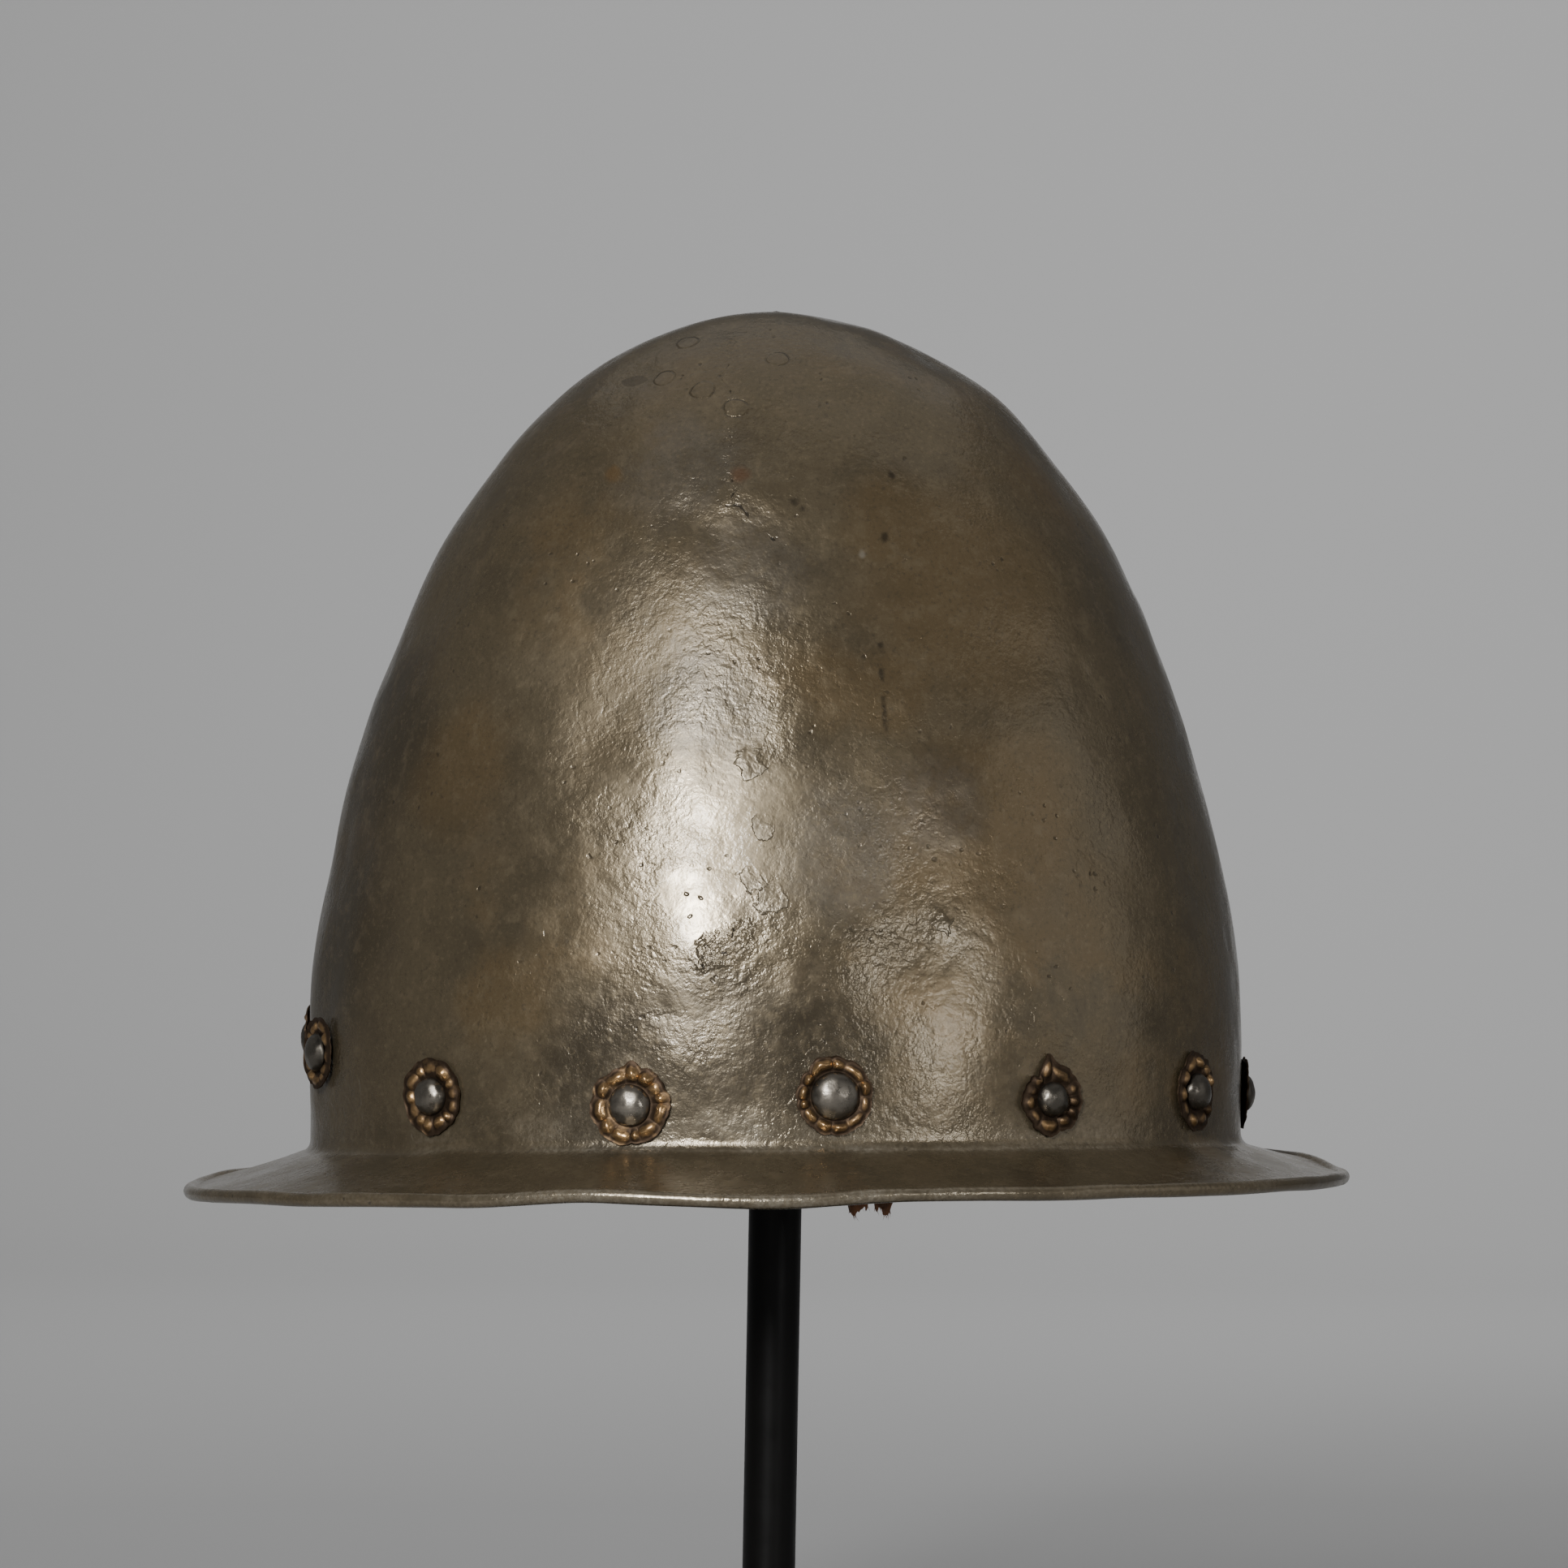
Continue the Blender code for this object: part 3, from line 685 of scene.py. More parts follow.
def rosette_mesh(rivets, rivet, number, across, along):
    """Thin embossed sheet: a flat seat, a ring of petals, and a ragged and torn rim."""
    rng = random.Random(SEED * 100 + number)
    around, radial = 168, 26
    hole = rivets.shank_radius + rivets.seat
    seat = rivets.head_radius * rivet["head"] * 0.98
    widths = [rng.uniform(0.65, 1.45) for _ in range(rivet["petals"] - 1)]
    ends = np.cumsum(widths) / sum(widths)
    swell = [rng.uniform(0.30, 1.30) for _ in widths]
    shift = rng.uniform(0, 1)
    tilt_side = rng.uniform(0, 6.28)
    front, back, hollows = [], [], []
    for ring in range(radial):
        for step in range(around):
            angle = 2 * math.pi * step / around
            seen = Vector((math.cos(angle), math.sin(angle), number * 3.1))
            at = (step / around + shift + 0.03 * noise.noise(seen * 1.7)) % 1.0
            which = min(int(np.searchsorted(ends, at)), len(ends) - 1)
            inside = 1 - (ends[which] - at) * sum(widths) / widths[which]
            strength = swell[which] * (1 - abs(2 * inside - 1) ** 2)
            jitter = noise.noise(seen * 2.3) * 0.06 + noise.noise(seen * 6.0) * 0.045
            off_point = (math.degrees(angle) - rivet["point"] + 180) % 360 - 180
            spike = rivet["tear"] * math.exp(-((off_point / 9) ** 2))
            spike -= rivet["tear"] * 0.6 * math.exp(-(((off_point - 32) / 12) ** 2))
            rim = rivets.rosette_radius * (0.955 + 0.05 * (1 - rivet["dull"]))
            rim *= 1 + jitter * rivet["ragged"] + spike + 0.045 * (strength - 0.5)
            share = ring / (radial - 1)
            reach = hole + (rim - hole) * share**0.9
            place = max(0.0, (reach - seat) / (rim - seat))
            across_petal = 0.46 + 0.12 * noise.noise(seen * 1.3 + Vector((9, 0, 0)))
            bulge = math.exp(-(((place - across_petal) / 0.30) ** 2)) if place > 0 else 0.0
            lift = rivets.emboss * bulge * min(1.0, place / 0.12) * (0.14 + 1.0 * max(0.0, strength))
            curl = max(0.0, place - 0.88) / 0.12 * 0.00028 * (0.6 + noise.noise(seen * 3.7))
            crumple = noise.noise(seen * 3.0 + Vector((0, 0, share * 2.5))) * 0.00035 * place
            lifted = rivet["lifted"] * 0.006 * place**2 * (0.6 + math.cos(angle - tilt_side))
            x = reach * math.cos(angle) * rivet["wide"]
            y = reach * math.sin(angle) * rivet["tall"]
            wall = across * x * x + along * y * y
            height = wall + rivets.seat + rivets.sheet + lift + curl
            height += abs(crumple) + max(0.0, lifted)
            front.append((x, y, height))
            back.append((x, y, height - rivets.sheet))
            hollows.append(1 - bulge * (0.30 + 0.70 * min(1.0, strength)))
    offset, last = len(front), (radial - 1) * around
    faces = strip_faces(radial, around)
    faces += flipped(faces, offset)
    for step in range(around):
        beside = (step + 1) % around
        faces.append((last + step, last + beside, offset + last + beside, offset + last + step))
        faces.append((beside, step, offset + step, offset + beside))
    mesh = new_mesh("rosette", front + back, flipped(faces))
    mark(mesh, "hollow", hollows * 2)
    mark(mesh, "dull", [rivet["dull"]] * offset * 2)
    return mesh


def rivet_depth(skull, lining, rivets, number):
    """How far inside the skull's outer face a rivet's tail begins."""
    grip = skull.wall + 0.0005
    if number == SCRAP_RIVET:
        grip += lining.leather + rivets.seat
    return grip


def rivet_mesh(rivets, rivet, number, depth):
    """A hammered head outside, a shank through the wall and a beaten tail inside."""
    rng = random.Random(SEED * 200 + number)
    radius = rivets.head_radius * rivet["head"]
    seat = rivets.seat * 2 + rivets.sheet
    rise = rivets.head_rise + rivets.emboss * 0.25
    sides, rings = 48, 16
    flats = []
    for _ in range(16):
        lean, way = math.acos(rng.uniform(0.15, 1.0)), rng.uniform(0, 6.28)
        flats.append((direction(lean, way), rng.uniform(0.955, 0.985)))
    points = []
    for ring in range(rings + 1):
        for side in range(sides):
            spot = direction(math.pi / 2 * ring / rings, 2 * math.pi * side / sides)
            for facing, reach in flats:
                over = spot.dot(facing) - reach
                if over > 0:
                    spot -= facing * over * 0.85
            wobble = 1 + 0.03 * noise.noise(spot * 1.7 + Vector((number, 0, 0)))
            points.append((spot.x * radius * wobble, spot.y * radius * wobble, seat + spot.z * rise))
    shank, tail, thick = rivets.shank_radius, rivets.tail_radius, rivets.tail_thickness
    under_head = seat - rivets.seat * 0.4
    down = [(radius * 0.97, under_head), (shank, under_head), (shank, -depth), (tail * 0.94, -depth),
            (tail, -depth - thick * 0.4), (tail * 0.7, -depth - thick * 0.85)]
    for reach, height in down:
        points += circle(reach, height, sides)
    rows = rings + 1 + len(down)
    caps = [tuple(range(sides)), tuple(reversed(range((rows - 1) * sides, rows * sides)))]
    mesh = new_mesh("rivet", points, flipped(strip_faces(rows, sides)) + caps)
    mark(mesh, "dull", [rivet["dull"]] * len(points))
    return mesh


# Leather scrap


def scrap_mesh(skull, rivets, lining):
    """Torn leather on the skull's inside, with fibres that hang from its lower edge."""
    rng = random.Random(SEED)
    middle = RIVETS[SCRAP_RIVET]["turn"]
    climb = float(climb_of(skull, rivets.lift / skull.height))
    beside, here = worked_surface(skull, middle + 1, climb), worked_surface(skull, middle, climb)
    degree = float(np.linalg.norm(beside - here))
    stations, drops, fibres, longest = 70, 16, 70, 0.0016
    foot = climb_of(skull, skull.fillet / skull.height)
    points = []
    for side in (0, 1):
        inward = skull.wall + rivets.seat + lining.leather * side
        for step in range(stations):
            share = step / (stations - 1)
            turn = middle + ((lining.front + lining.back) * share - lining.front) / degree
            angle = math.radians(turn)
            out = Vector((math.cos(angle) / skull.length, -math.sin(angle) / skull.width, 0))
            out.normalize()
            high = climb_of(skull, (rivets.lift + lining.above) / skull.height)
            top = Vector(worked_surface(skull, turn, high)) - out * inward
            bottom = Vector(worked_surface(skull, turn, foot)) - out * inward
            ragged = 0.16 * noise.noise(Vector((share * 30, side * 0.4, 2)))
            hang = float(eased(SCRAP_EDGE, "across", "length", share)) + ragged
            tip = bottom - Vector((0, 0, skull.fillet + lining.below * min(hang, 1.0)))
            for drop in range(drops):
                along = drop / (drops - 1)
                spot = top.lerp(bottom, along * 2) if along < 0.5 else bottom.lerp(tip, along * 2 - 1)
                curl = 0.0006 * noise.noise(Vector((share * 9, along * 6, 5)))
                points.append(spot - out * (abs(curl) + 0.0001 * along))
    far = stations * drops
    near = strip_faces(stations, drops, wrapped=False)
    faces = near + flipped(near, far)
    for step in range(stations - 1):
        for row in (0, drops - 1):
            a, b = step * drops + row, (step + 1) * drops + row
            quad = (a, b, far + b, far + a)
            faces.append(quad[::-1] if row == 0 else quad)
    for row in range(drops - 1):
        for step in (0, stations - 1):
            a, b = step * drops + row, step * drops + row + 1
            quad = (a, b, far + b, far + a)
            faces.append(quad if step == 0 else quad[::-1])
    for _ in range(fibres):
        start = rng.randrange(2, stations - 2) * drops + drops - 1
        root = (points[start] + points[start + far]) / 2
        fall = rng.uniform(0.0006, 0.0022)
        lean = Vector((rng.uniform(-0.9, 0.9), rng.uniform(-0.3, 0.5), -1)).normalized()
        thick = rng.uniform(0.00008, 0.00022)
        tip = root + lean * fall
        tip.z = max(tip.z, root.z - longest)
        first = len(points)
        for turn in range(3):
            around = Vector((math.cos(turn * 2.09), math.sin(turn * 2.09), 0)) * thick
            points.append(root + around + Vector((0, 0, 0.0004)))
        points.append(tip)
        faces += [(first, first + 1, first + 3), (first + 1, first + 2, first + 3)]
        faces += [(first + 2, first, first + 3), (first + 2, first + 1, first)]
    return new_mesh("scrap", points, faces)


# Materials


def join(value, socket):
    """Links a socket to an input, or sets the input to a plain value."""
    if isinstance(value, bpy.types.NodeSocket):
        socket.id_data.links.new(value, socket)
    else:
        socket.default_value = (*value, 1.0) if socket.type == "RGBA" else value


def add(near, kind, inputs, **settings):
    """A shader node in the tree of a socket, with its settings and its inputs joined or set."""
    made = near.id_data.nodes.new("ShaderNode" + kind)
    for name, value in settings.items():
        setattr(made, name, value)
    for socket, value in inputs.items():
        join(value, made.inputs[socket])
    return made


def grain(where, scale, detail=4.0, rough=0.55):
    """Smooth noise from 0 to 1."""
    inputs = {"Vector": where, "Scale": scale, "Detail": detail, "Roughness": rough}
    return add(where, "TexNoise", inputs).outputs["Fac"]


def spread(value, low, high, to_low=0.0, to_high=1.0):
    """Stretches a value's range, with soft ends."""
    inputs = {"Value": value, "From Min": low, "From Max": high, "To Min": to_low, "To Max": to_high}
    return add(value, "MapRange", inputs, interpolation_type="SMOOTHSTEP").outputs["Result"]


def within(distance, full, gone):
    """1 up to a distance, falling softly to 0 at a larger one."""
    return spread(distance, full, gone, 1.0, 0.0)


def worked_out(operation, *values):
    """Arithmetic on values, the first of them a socket."""
    return add(values[0], "Math", dict(enumerate(values)), operation=operation).outputs[0]


times = functools.partial(worked_out, "MULTIPLY")
plus = functools.partial(worked_out, "ADD")
minus = functools.partial(worked_out, "SUBTRACT")
divided = functools.partial(worked_out, "DIVIDE")
larger = functools.partial(worked_out, "MAXIMUM")
smaller = functools.partial(worked_out, "MINIMUM")
size_of = functools.partial(worked_out, "ABSOLUTE")
times_plus = functools.partial(worked_out, "MULTIPLY_ADD")


def clamped(value):
    return add(value, "Clamp", {"Value": value}).outputs[0]


def blended(share, low, high):
    """A colour between two colours."""
    return add(share, "Mix", {0: share, 6: low, 7: high}, data_type="RGBA").outputs[2]


def attribute(near, name):
    return add(near, "Attribute", {}, attribute_name=name).outputs["Fac"]


def vectors(near, operation, first, second):
    """Arithmetic on two vectors, or on a vector and its scale."""
    inputs = {0: first, "Scale" if operation == "SCALE" else 1: second}
    made = add(near, "VectorMath", inputs, operation=operation)
    return made.outputs["Value" if operation in ("DISTANCE", "DOT_PRODUCT") else "Vector"]


def distance_to(where, place):
    """Distance from a point of the object."""
    return vectors(where, "DISTANCE", where, tuple(place))


def distance_to_line(where, start, end):
    """Distance from a straight stretch between two points of the object."""
    run = end - start
    away = vectors(where, "SUBTRACT", where, tuple(start))
    along = clamped(vectors(where, "DOT_PRODUCT", away, tuple(run / run.length_squared)))
    return vectors(where, "DISTANCE", away, vectors(where, "SCALE", tuple(run), along))


def nearest(distances):
    return functools.reduce(smaller, distances)


def run_along(where, skull, marks):
    """Distance from a line through several places of the skull."""
    places = [mark_place(skull, row) for row in marks]
    return nearest([distance_to_line(where, a, b) for a, b in zip(places, places[1:])])


def patches(where, skull, marks):
    """1 inside any of several round places of the skull, 0 outside, with soft ends."""
    shares = [divided(distance_to(where, mark_place(skull, row)), row["size"]) for row in marks]
    return within(nearest(shares), 0.50, 1.15)


def shaken(where, scale, strength):
    """Coordinates shaken by noise, so that a drawn line wanders."""
    cloud = add(where, "TexNoise", {"Vector": where, "Scale": scale, "Detail": 3.0}).outputs["Color"]
    shift = vectors(where, "SCALE", vectors(where, "SUBTRACT", cloud, (0.5, 0.5, 0.5)), strength)
    return vectors(where, "ADD", where, shift)


def relief(height, depth, below=None):
    """Raises the shading by a height field, over another relief."""
    inputs = {"Height": height, "Distance": depth, "Strength": 1.0}
    if below is not None:
        inputs["Normal"] = below
    return add(height, "Bump", inputs).outputs["Normal"]


def new_material(name):
    """A material and the coordinates of the object that wears it."""
    material = bpy.data.materials.new(name)
    material.use_nodes = True
    return material, material.node_tree.nodes.new("ShaderNodeTexCoord").outputs["Object"]


def finish(material, inputs):
    """Joins or sets inputs of a material's shader."""
    shader = material.node_tree.nodes["Principled BSDF"]
    for socket, value in inputs.items():
        join(value, shader.inputs[socket])
    return material


def scaled(colour, factor):
    return tuple(min(1.0, value * factor) for value in colour)


def flakes(where, skull):
    """Thin flakes of the plate, each standing up at one end."""
    plates = []
    for scale in SCALES:
        size, middle = scale["size"], mark_place(skull, scale)
        plate = within(divided(distance_to(where, middle), size), 0.86, 1.0)
        rise = distance_to(where, middle + Vector((0.3 * size, 0, 0.9 * size)))
        plates.append(times(plate, spread(rise, 0.3 * size, 1.8 * size)))
    return functools.reduce(larger, plates)


def patina_steel(skull):
    """Old plate: olive brown patina, rust showing through, worn edges with a painted highlight on the lit
    side, patches of painted shade, crack, plugs and pits.
    """
    material, where = new_material("patina_steel")
    wide, broad = grain(where, 13, 3.0), grain(where, 46, 5.0, 0.6)
    small, fine = grain(where, 210, 5.0, 0.6), grain(where, 950, 3.0, 0.6)
    drifting, wandering = shaken(where, 70, 0.016), shaken(where, 210, 0.0032)
    torn = shaken(wandering, 230, 0.0085)
    slightly = add(where, "Mix", {0: 0.6, 4: where, 5: wandering}, data_type="VECTOR").outputs[1]

    # Cracks, scratches, plugs, flakes and pits
    seam = run_along(wandering, skull, CRACK)
    beaten = within(seam, 0.0008, 0.0032)
    seam = times(within(seam, 0.00008, 0.00040), spread(grain(where, 330, 2.0), 0.44, 0.58))
    crack = larger(seam, within(run_along(wandering, skull, SLIT), 0.00015, 0.00055))
    hairs = nearest([run_along(wandering, skull, ends) for ends in SCRATCHES])
    scratch = times(within(hairs, 0.00004, 0.00026), spread(small, 0.40, 0.60))
    rounds = nearest([distance_to(slightly, mark_place(skull, row)) for row in PLUGS])
    plug = within(rounds, 0.0027, 0.0033)
    ring = within(size_of(minus(rounds, 0.0031)), 0.0001, 0.00045)
    dark_lines = larger(crack, times(times(ring, spread(small, 0.38, 0.58)), 0.45))
    flake = flakes(torn, skull)
    splits = nearest([run_along(torn, skull, ends) for ends in FISSURES])
    fissure, scaly = within(splits, 0.00008, 0.0005), within(splits, 0.0010, 0.0034)
    streak = within(run_along(wandering, skull, STREAK), 0.0002, 0.0011)
    cells = add(wandering, "TexVoronoi", {"Vector": wandering, "Scale": 270.0}).outputs["Distance"]
    pits = times(within(cells, 0.06, 0.20), spread(grain(where, 52, 3.0), 0.50, 0.66))

    # Places where the surface is rubbed and painted with a highlight, burnished or hidden inside
    rubbed_and_sheen = times(attribute(where, "wear_and_sheen"), spread(broad, 0.35, 0.62))
    flecked = times(rubbed_and_sheen, spread(fine, 0.40, 0.62, 0.35, 1.0))
    inner = attribute(where, "inner")
    burnish_and_sheen = patches(wandering, skull, BURNISHED)

    # Colour, one coat over the other
    rusty = times(spread(wide, 0.46, 0.66), spread(broad, 0.38, 0.64))
    rusty = times(larger(rusty, patches(drifting, skull, GOLDEN)), 0.40)
    grey = times(patches(drifting, skull, GREY), spread(small, 0.30, 0.60, 0.15, 0.45))
    light = scaled(skull.patina, 1.5)
    coats = [
        (rusty, skull.rust),
        (grey, skull.grey),
        # Painted shade where the plate turns away from the light
        (times(patches(drifting, skull, PAINTED_SHADE), 0.62), scaled(skull.dark, 0.75)),
        (spread(small, 0.50, 0.74, 0.0, 0.45), light),
        (spread(fine, 0.28, 0.46, 0.50, 0.0), skull.dark),
        (spread(fine, 0.54, 0.72, 0.0, 0.50), light),
        # Pale bare metal on the crease and bead: partly real wear, partly a painted highlight on the lit
        # side
        (times(flecked, 0.75), skull.worn),
        (times(inner, 0.6), skull.dark),
        (times(dark_lines, 0.75), SOOT),
        (times(scratch, 0.55), skull.worn),
    ]
    for spot in SPOTS:
        away = distance_to(wandering, mark_place(skull, spot))
        coats.append((spread(away, spot["size"] * 0.3, spot["size"] * 1.2, 0.65, 0.0), spot["shade"]))
    coats += [
        (times(flake, 0.18), skull.worn),
        (times(fissure, 0.85), SOOT),
        (times(times(streak, 0.75), spread(small, 0.4, 0.6)), GRIME),
        (times(pits, 0.5), PITTED),
    ]
    colour = blended(spread(broad, 0.26, 0.56, 0.55, 1.0), skull.dark, skull.patina)
    for share, shade in coats:
        colour = blended(share, colour, shade)

    rough = plus(spread(broad, 0.30, 0.70, 0.23, 0.33), spread(small, 0.35, 0.70, -0.03, 0.03))
    dull = patches(drifting, skull, DULL)
    for share, change in ((flecked, -0.10), (burnish_and_sheen, -0.06), (dull, 0.12), (inner, 0.15)):
        rough = times_plus(share, change, rough)

    # Relief, by the depth of each layer in metres
    ridges = spread(size_of(minus(grain(where, 150, 4.0, 0.62), 0.5)), 0.0, 0.10)
    crumpled = spread(grain(where, 34, 4.0, 0.6), 0.38, 0.62, 0.30, 1.0)
    crumpled = times(crumpled, spread(burnish_and_sheen, 0.0, 1.0, 1.0, 0.12))
    crumpled = plus(crumpled, larger(times(scaly, 2.2), beaten))
    height = times(broad, 0.00040)
    for layer, depth in (
        (small, 0.00006),
        (times(ridges, crumpled), 0.000055),
        (times(grain(wandering, 1050, 3.0, 0.6), crumpled), 0.00009),
        (pits, -0.00013),
        (flake, 0.00022),
        (plug, 0.00012),
        (larger(dark_lines, fissure), -0.00022),
        (scratch, -0.00008),
    ):
        height = times_plus(layer, depth, height)
    normal = relief(height, 1.0)
    return finish(material, {
        "Base Color": colour, "Metallic": 0.62, "Roughness": rough, "Normal": normal,
        "Specular IOR Level": 0.5, "Coat Weight": 0.20, "Coat Roughness": 0.11, "Coat Normal": normal,
    })


def embossed_brass(rivets):
    """Thin brass, rubbed bright on the petals and brown in the hollows."""
    material, where = new_material("embossed_brass")
    blotches, fine = grain(where, 260), grain(where, 1500, 3.0)
    soiled = plus(spread(attribute(where, "hollow"), 0.30, 0.85), times(attribute(where, "dull"), 0.62))
    soiled = clamped(plus(soiled, spread(blotches, 0.35, 0.70, -0.30, 0.35)))
    return finish(material, {
        "Base Color": blended(soiled, rivets.brass, rivets.tarnish), "Metallic": 0.9,
        "Roughness": spread(soiled, 0.0, 1.0, 0.26, 0.56),
        "Normal": relief(fine, 0.00002, relief(blotches, 0.00015)),
    })


def hammered_iron(rivets):
    """Rivet iron, burnished on top and dark round its edge."""
    material, where = new_material("hammered_iron")
    blotches, fine = grain(where, 420), grain(where, 1900, 3.0)
    top = plus(add(where, "SeparateXYZ", {0: where}).outputs["Z"], times(blotches, 0.0012))
    bright = spread(top, rivets.head_rise * 0.3, rivets.head_rise * 1.5)
    bright = clamped(minus(bright, times(attribute(where, "dull"), 0.7)))
    return finish(material, {
        "Base Color": blended(bright, scaled(rivets.iron, 0.32), rivets.iron), "Metallic": 0.9,
        "Roughness": spread(blotches, 0.3, 0.7, 0.24, 0.42),
        "Normal": relief(fine, 0.00002, relief(blotches, 0.00012)),
    })


def torn_leather(lining):
    """Old leather with a rough, fibrous face."""
    material, where = new_material("torn_leather")
    broad, fine = grain(where, 260, 5.0), grain(where, 1600)
    return finish(material, {
        "Base Color": blended(spread(broad, 0.35, 0.65), scaled(lining.brown, 0.35), lining.brown),
        "Roughness": 0.82, "Normal": relief(fine, 0.00008, relief(broad, 0.0003)),
    })


def satin_paint(stand):
    """Satin black paint with a faint brushed unevenness."""
    material, where = new_material("satin_paint")
    return finish(material, {
        "Base Color": stand.paint, "Specular IOR Level": 0.15,
        "Roughness": spread(grain(where, 120), 0.3, 0.7, 0.34, 0.46),
        "Normal": relief(grain(where, 700, 3.0), 0.00002),
    })


def backdrop_paper(studio):
    material, _ = new_material("backdrop_paper")
    return finish(material, {"Base Color": studio.paper, "Roughness": 0.95, "Specular IOR Level": 0.1})


# Operators


class CABASSET_OT_skull(bpy.types.Operator):
    """Raise the skull and its brim from one hammered plate"""

    bl_idname = "mesh.cabasset_skull"
    bl_label = "Skull and Brim"

    def execute(self, context):
        skull = context.scene.cabasset_skull
        piece = show("skull_shell", shell_mesh(skull), patina_steel(skull), helmet_placement(skull))
        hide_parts("skull_and_brim")
        return {"FINISHED"}


class CABASSET_OT_rosettes(bpy.types.Operator):
    """Emboss the thirteen rosette washers, each torn and worn in its own way"""

    bl_idname = "mesh.cabasset_rosettes"
    bl_label = "Rosettes"

    def execute(self, context):
        skull, rivets = context.scene.cabasset_skull, context.scene.cabasset_rivets
        brass = embossed_brass(rivets)
        for number, rivet in enumerate(RIVETS, 1):
            place, across, along = rivet_place(skull, rivets, rivet)
            mesh = rosette_mesh(rivets, rivet, number, across, along)
            piece = show(f"rosette_sheet_{number:02d}", mesh, brass, place)
            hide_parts(f"rosette_{number:02d}")
        return {"FINISHED"}


class CABASSET_OT_rivets(bpy.types.Operator):
    """Forge the thirteen domed rivets with their shanks and tails"""

    bl_idname = "mesh.cabasset_rivets"
    bl_label = "Rivets"

    def execute(self, context):
        scene = context.scene
        skull, rivets, lining = scene.cabasset_skull, scene.cabasset_rivets, scene.cabasset_lining
        iron = hammered_iron(rivets)
        for number, rivet in enumerate(RIVETS, 1):
            place, _, _ = rivet_place(skull, rivets, rivet)
            depth = rivet_depth(skull, lining, rivets, number - 1)
            piece = show(f"rivet_head_{number:02d}", rivet_mesh(rivets, rivet, number, depth), iron, place)
            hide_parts(f"rivet_{number:02d}")
        return {"FINISHED"}


class CABASSET_OT_lining(bpy.types.Operator):
    """Cut the torn scrap that is left of the leather lining band"""

    bl_idname = "mesh.cabasset_lining"
    bl_label = "Lining Scrap"

    def execute(self, context):
        scene = context.scene
        skull, rivets, lining = scene.cabasset_skull, scene.cabasset_rivets, scene.cabasset_lining
        mesh = scrap_mesh(skull, rivets, lining)
        piece = show("torn_scrap", mesh, torn_leather(lining), helmet_placement(skull))
        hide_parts("lining_scrap")
        return {"FINISHED"}


class CABASSET_OT_stand(bpy.types.Operator):
    """Turn the stand's foot, post and saddle"""

    bl_idname = "mesh.cabasset_stand"
    bl_label = "Stand"

    def execute(self, context):
        skull, stand = context.scene.cabasset_skull, context.scene.cabasset_stand
        paint = satin_paint(stand)
        post_low, post_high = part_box("stand_post")
        foot_low, foot_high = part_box("stand_foot")
        saddle_low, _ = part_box("stand_saddle")
        radius, socket = post_high.x, post_high.x + stand.seat
        profile = [(0, post_low.z), (radius, post_low.z), (radius, post_high.z), (0, post_high.z)]
        post = show("post_rod", turned_mesh("post", profile, 96), paint)
        plate, top = foot_high.z - stand.collar_height, foot_high.z
        collar = socket + stand.collar_wall
        profile = [(0, foot_low.z), (foot_high.x, foot_low.z), (foot_high.x, plate), (collar, plate)]
        profile += [(collar, top), (socket, top), (socket, stand.socket_floor), (0, stand.socket_floor)]
        foot = show("foot_disc", turned_mesh("foot", profile, 128), paint)
        saddle = show("saddle_block", saddle_mesh(skull, stand, saddle_low.z, post_high.z), paint)
        for piece, node in ((post, "stand_post"), (foot, "stand_foot"), (saddle, "stand_saddle")):
            rounded_edges(piece, stand.edge)
            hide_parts(node)
        return {"FINISHED"}


def saddle_mesh(skull, stand, hub_floor, post_top):
    """The stand's head: its top is cut to the crown's inside, and a hub under it takes the post."""
    sides, rings = 72, 10
    floor = hub_floor + stand.hub_height
    gap = skull.wall + stand.seat
    place = helmet_placement(skull)
    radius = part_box("stand_post")[1].x + stand.seat
    hub = radius + stand.hub_wall
    rows = []
    for ring in range(1, rings + 1):
        climb = 1 - CARRIED * ring / rings
        turns = -360 * np.arange(sides) / sides
        rows.append([place @ Vector(spot) for spot in worked_surface(skull, turns, climb, gap)])
    rows.append([Vector((spot.x, spot.y, floor)) for spot in rows[-1]])
    for reach, height in ((hub, floor), (hub, hub_floor), (radius, hub_floor), (radius, post_top)):
        rows.append(circle(reach, height, sides))
    points = [spot for row in rows for spot in row]
    count = len(points)
    faces = flipped(strip_faces(len(rows), sides)) + fan(0, sides, count)
    faces.append(tuple(reversed(range(count - sides, count))))
    points.append(place @ Vector(worked_surface(skull, 0.0, 1.0, gap)))
    return new_mesh("saddle", points, faces)


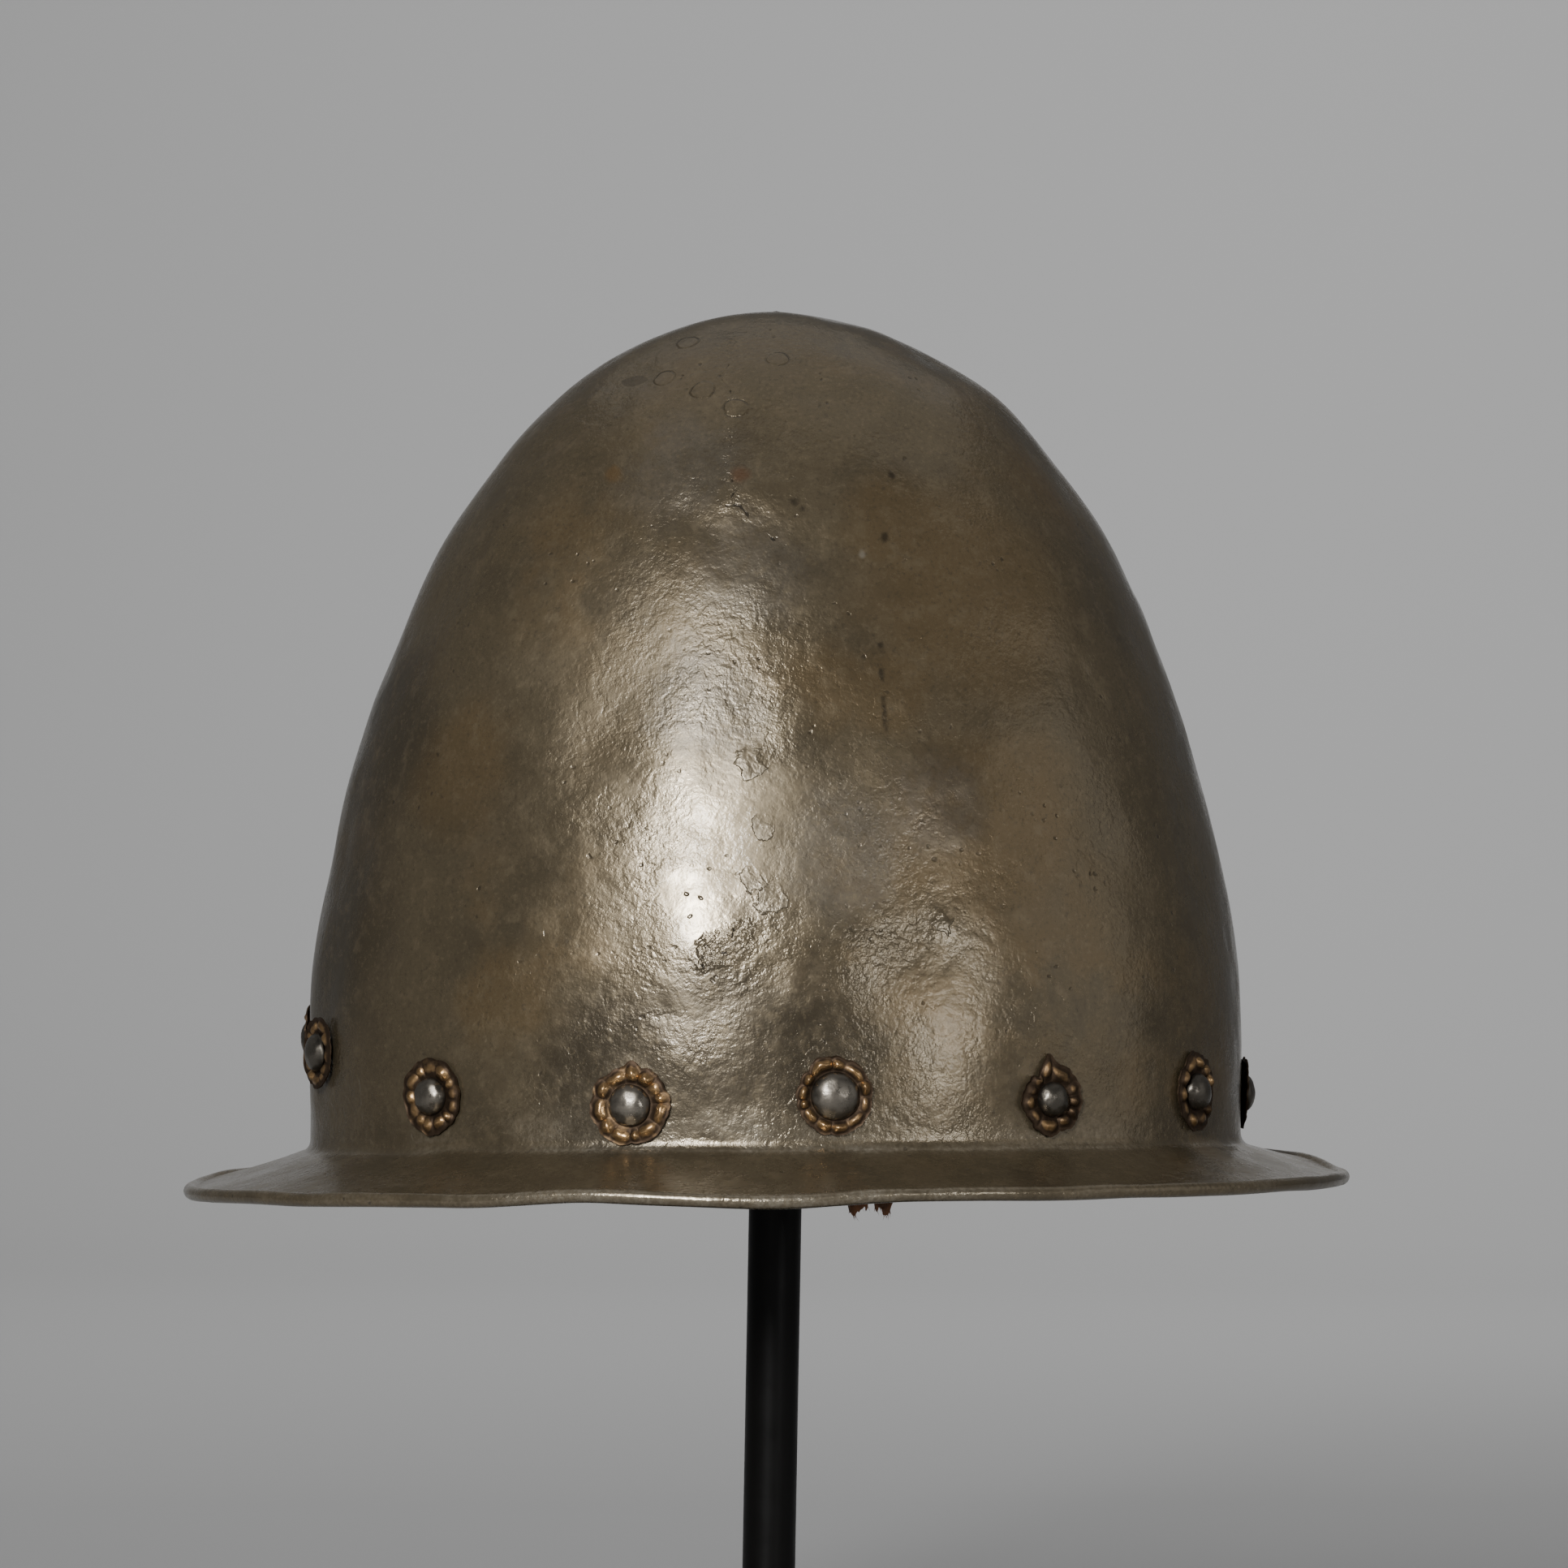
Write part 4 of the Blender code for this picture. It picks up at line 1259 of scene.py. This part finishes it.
class CABASSET_OT_studio(bpy.types.Operator):
    """Lay the pale backdrop and place the lights and the camera"""

    bl_idname = "scene.cabasset_studio"
    bl_label = "Studio"

    def execute(self, context):
        studio = context.scene.cabasset_studio
        low, high = cad_bounds
        middle = Vector((0, 0, (low.z + high.z) / 2))
        sweep_paper(studio, low.z)
        # Name, target, degrees to the left and above, distance, size and power
        softbox("key_light", middle, 19, 18, 1.8, (0.15, 0.26), studio.key_power)
        softbox("tall_light", middle, 22, 30, 1.9, (0.45, 0.66), studio.tall_power)
        softbox("top_light", Vector((0.2, 0.9, 0.2)), 0, 80, 1.7, (2.2, 2.2), studio.top_power)
        softbox("side_light", middle, -68, 14, 2.2, (1.3, 1.6), studio.side_power)
        softbox("floor_light", Vector((0.2, 1.7, 0.0)), 0, 55, 1.22, (2.2, 0.5), studio.floor_power)
        softbox("fill_light", middle, -30, 8, 2.2, (0.42, 0.30), studio.fill_power)
        softbox("backdrop_light", Vector((0.42, 3.5, 0.5)), -8, 29, 1.9, (1.9, 0.8), studio.backdrop_power)
        world = bpy.data.worlds.new("room")
        world.use_nodes = True
        background = world.node_tree.nodes["Background"]
        background.inputs["Color"].default_value = (0.5, 0.5, 0.5, 1.0)
        background.inputs["Strength"].default_value = studio.room
        context.scene.world = world
        place_camera(context.scene, studio)
        return {"FINISHED"}


def sweep_paper(studio, floor):
    """A floor that curves up into a backdrop, without a corner."""
    wide, narrow, front, bend_from, bend, top = 3.0, 1.35, -3.5, 2.3, 1.0, 1.5
    steps, taper = 16, 0.4
    profile = [(wide, front, floor), (wide, bend_from, floor)]
    for step in range(1, steps + 1):
        angle = math.pi / 2 * step / steps
        half_width = max(narrow, wide - step * taper)
        across, rise = bend * math.sin(angle), bend * (1 - math.cos(angle))
        profile.append((half_width, bend_from + across, floor + rise))
    profile.append((narrow, bend_from + bend, top))
    points = [(side * half_width, y, z) for half_width, y, z in profile for side in (-1, 1)]
    faces = [(2 * k, 2 * k + 1, 2 * k + 3, 2 * k + 2) for k in range(len(profile) - 1)]
    mesh = new_mesh("backdrop", points, faces)
    mesh.shade_smooth()
    mesh.materials.append(backdrop_paper(studio))
    paper = put("backdrop", mesh)


def softbox(name, target, left, above, distance, size, power):
    """A soft rectangular light, so many degrees to the left of the camera and above the target."""
    lamp = bpy.data.lights.new(name, "AREA")
    lamp.shape = "RECTANGLE"
    lamp.size, lamp.size_y = size
    lamp.energy = power
    light = put(name, lamp)
    away = direction(math.radians(90 - above), math.radians(-90 - left))
    light.location = target + away * distance
    light.rotation_euler = (-away).to_track_quat("-Z", "Y").to_euler()


def place_camera(scene, studio):
    """Camera level with the helmet's middle, a little to its back, as in the photograph."""
    aside, roll = math.radians(-4.5), TIPPED_BACK
    target = Vector((0.0003, 0.0, 0.2766))
    seen_width, sensor = 0.4038, 36.0
    look = Vector((-math.sin(aside), math.cos(aside), 0))
    right, up = Vector((math.cos(aside), math.sin(aside), 0)), Vector((0, 0, 1))
    rolled_right = right * math.cos(roll) + up * math.sin(roll)
    rolled_up = up * math.cos(roll) - right * math.sin(roll)
    data = bpy.data.cameras.new("camera")
    data.sensor_width = sensor
    data.lens = sensor * studio.camera_distance / seen_width
    camera = put("camera", data)
    axes = Matrix((rolled_right, rolled_up, -look)).transposed().to_4x4()
    camera.matrix_world = Matrix.Translation(target - look * studio.camera_distance) @ axes
    scene.camera = camera


class CABASSET_PT_panel(bpy.types.Panel):
    """Lists the helmet's pieces and their settings"""

    bl_label = "Cabasset Helmet"
    bl_idname = "CABASSET_PT_panel"
    bl_space_type = "VIEW_3D"
    bl_region_type = "UI"
    bl_category = "Cabasset"

    def draw(self, context):
        for operator in OPERATORS:
            self.layout.operator(operator.bl_idname)
        for slot_name in SETTINGS:
            group = getattr(context.scene, slot_name)
            box = self.layout.box()
            for name in group.bl_rna.properties.keys():
                if name not in ("rna_type", "name"):
                    box.prop(group, name)


SETTINGS = {
    "cabasset_skull": CabassetSkullSettings,
    "cabasset_rivets": CabassetRivetSettings,
    "cabasset_lining": CabassetLiningSettings,
    "cabasset_stand": CabassetStandSettings,
    "cabasset_studio": CabassetStudioSettings,
}
OPERATORS = (
    CABASSET_OT_skull,
    CABASSET_OT_rosettes,
    CABASSET_OT_rivets,
    CABASSET_OT_lining,
    CABASSET_OT_stand,
    CABASSET_OT_studio,
)


def register():
    for group in SETTINGS.values():
        bpy.utils.register_class(group)
    for name, group in SETTINGS.items():
        setattr(bpy.types.Scene, name, bpy.props.PointerProperty(type=group))
    for operator in OPERATORS:
        bpy.utils.register_class(operator)
    bpy.utils.register_class(CABASSET_PT_panel)


def unregister():
    bpy.utils.unregister_class(CABASSET_PT_panel)
    for operator in reversed(OPERATORS):
        bpy.utils.unregister_class(operator)
    for name in SETTINGS:
        delattr(bpy.types.Scene, name)
    for group in reversed(SETTINGS.values()):
        bpy.utils.unregister_class(group)


def main():
    register()
    bpy.ops.mesh.cabasset_skull()
    bpy.ops.mesh.cabasset_rosettes()
    bpy.ops.mesh.cabasset_rivets()
    bpy.ops.mesh.cabasset_lining()
    bpy.ops.mesh.cabasset_stand()
    bpy.ops.scene.cabasset_studio()
    bpy.context.view_layer.update()


if __name__ == "__main__":
    main()
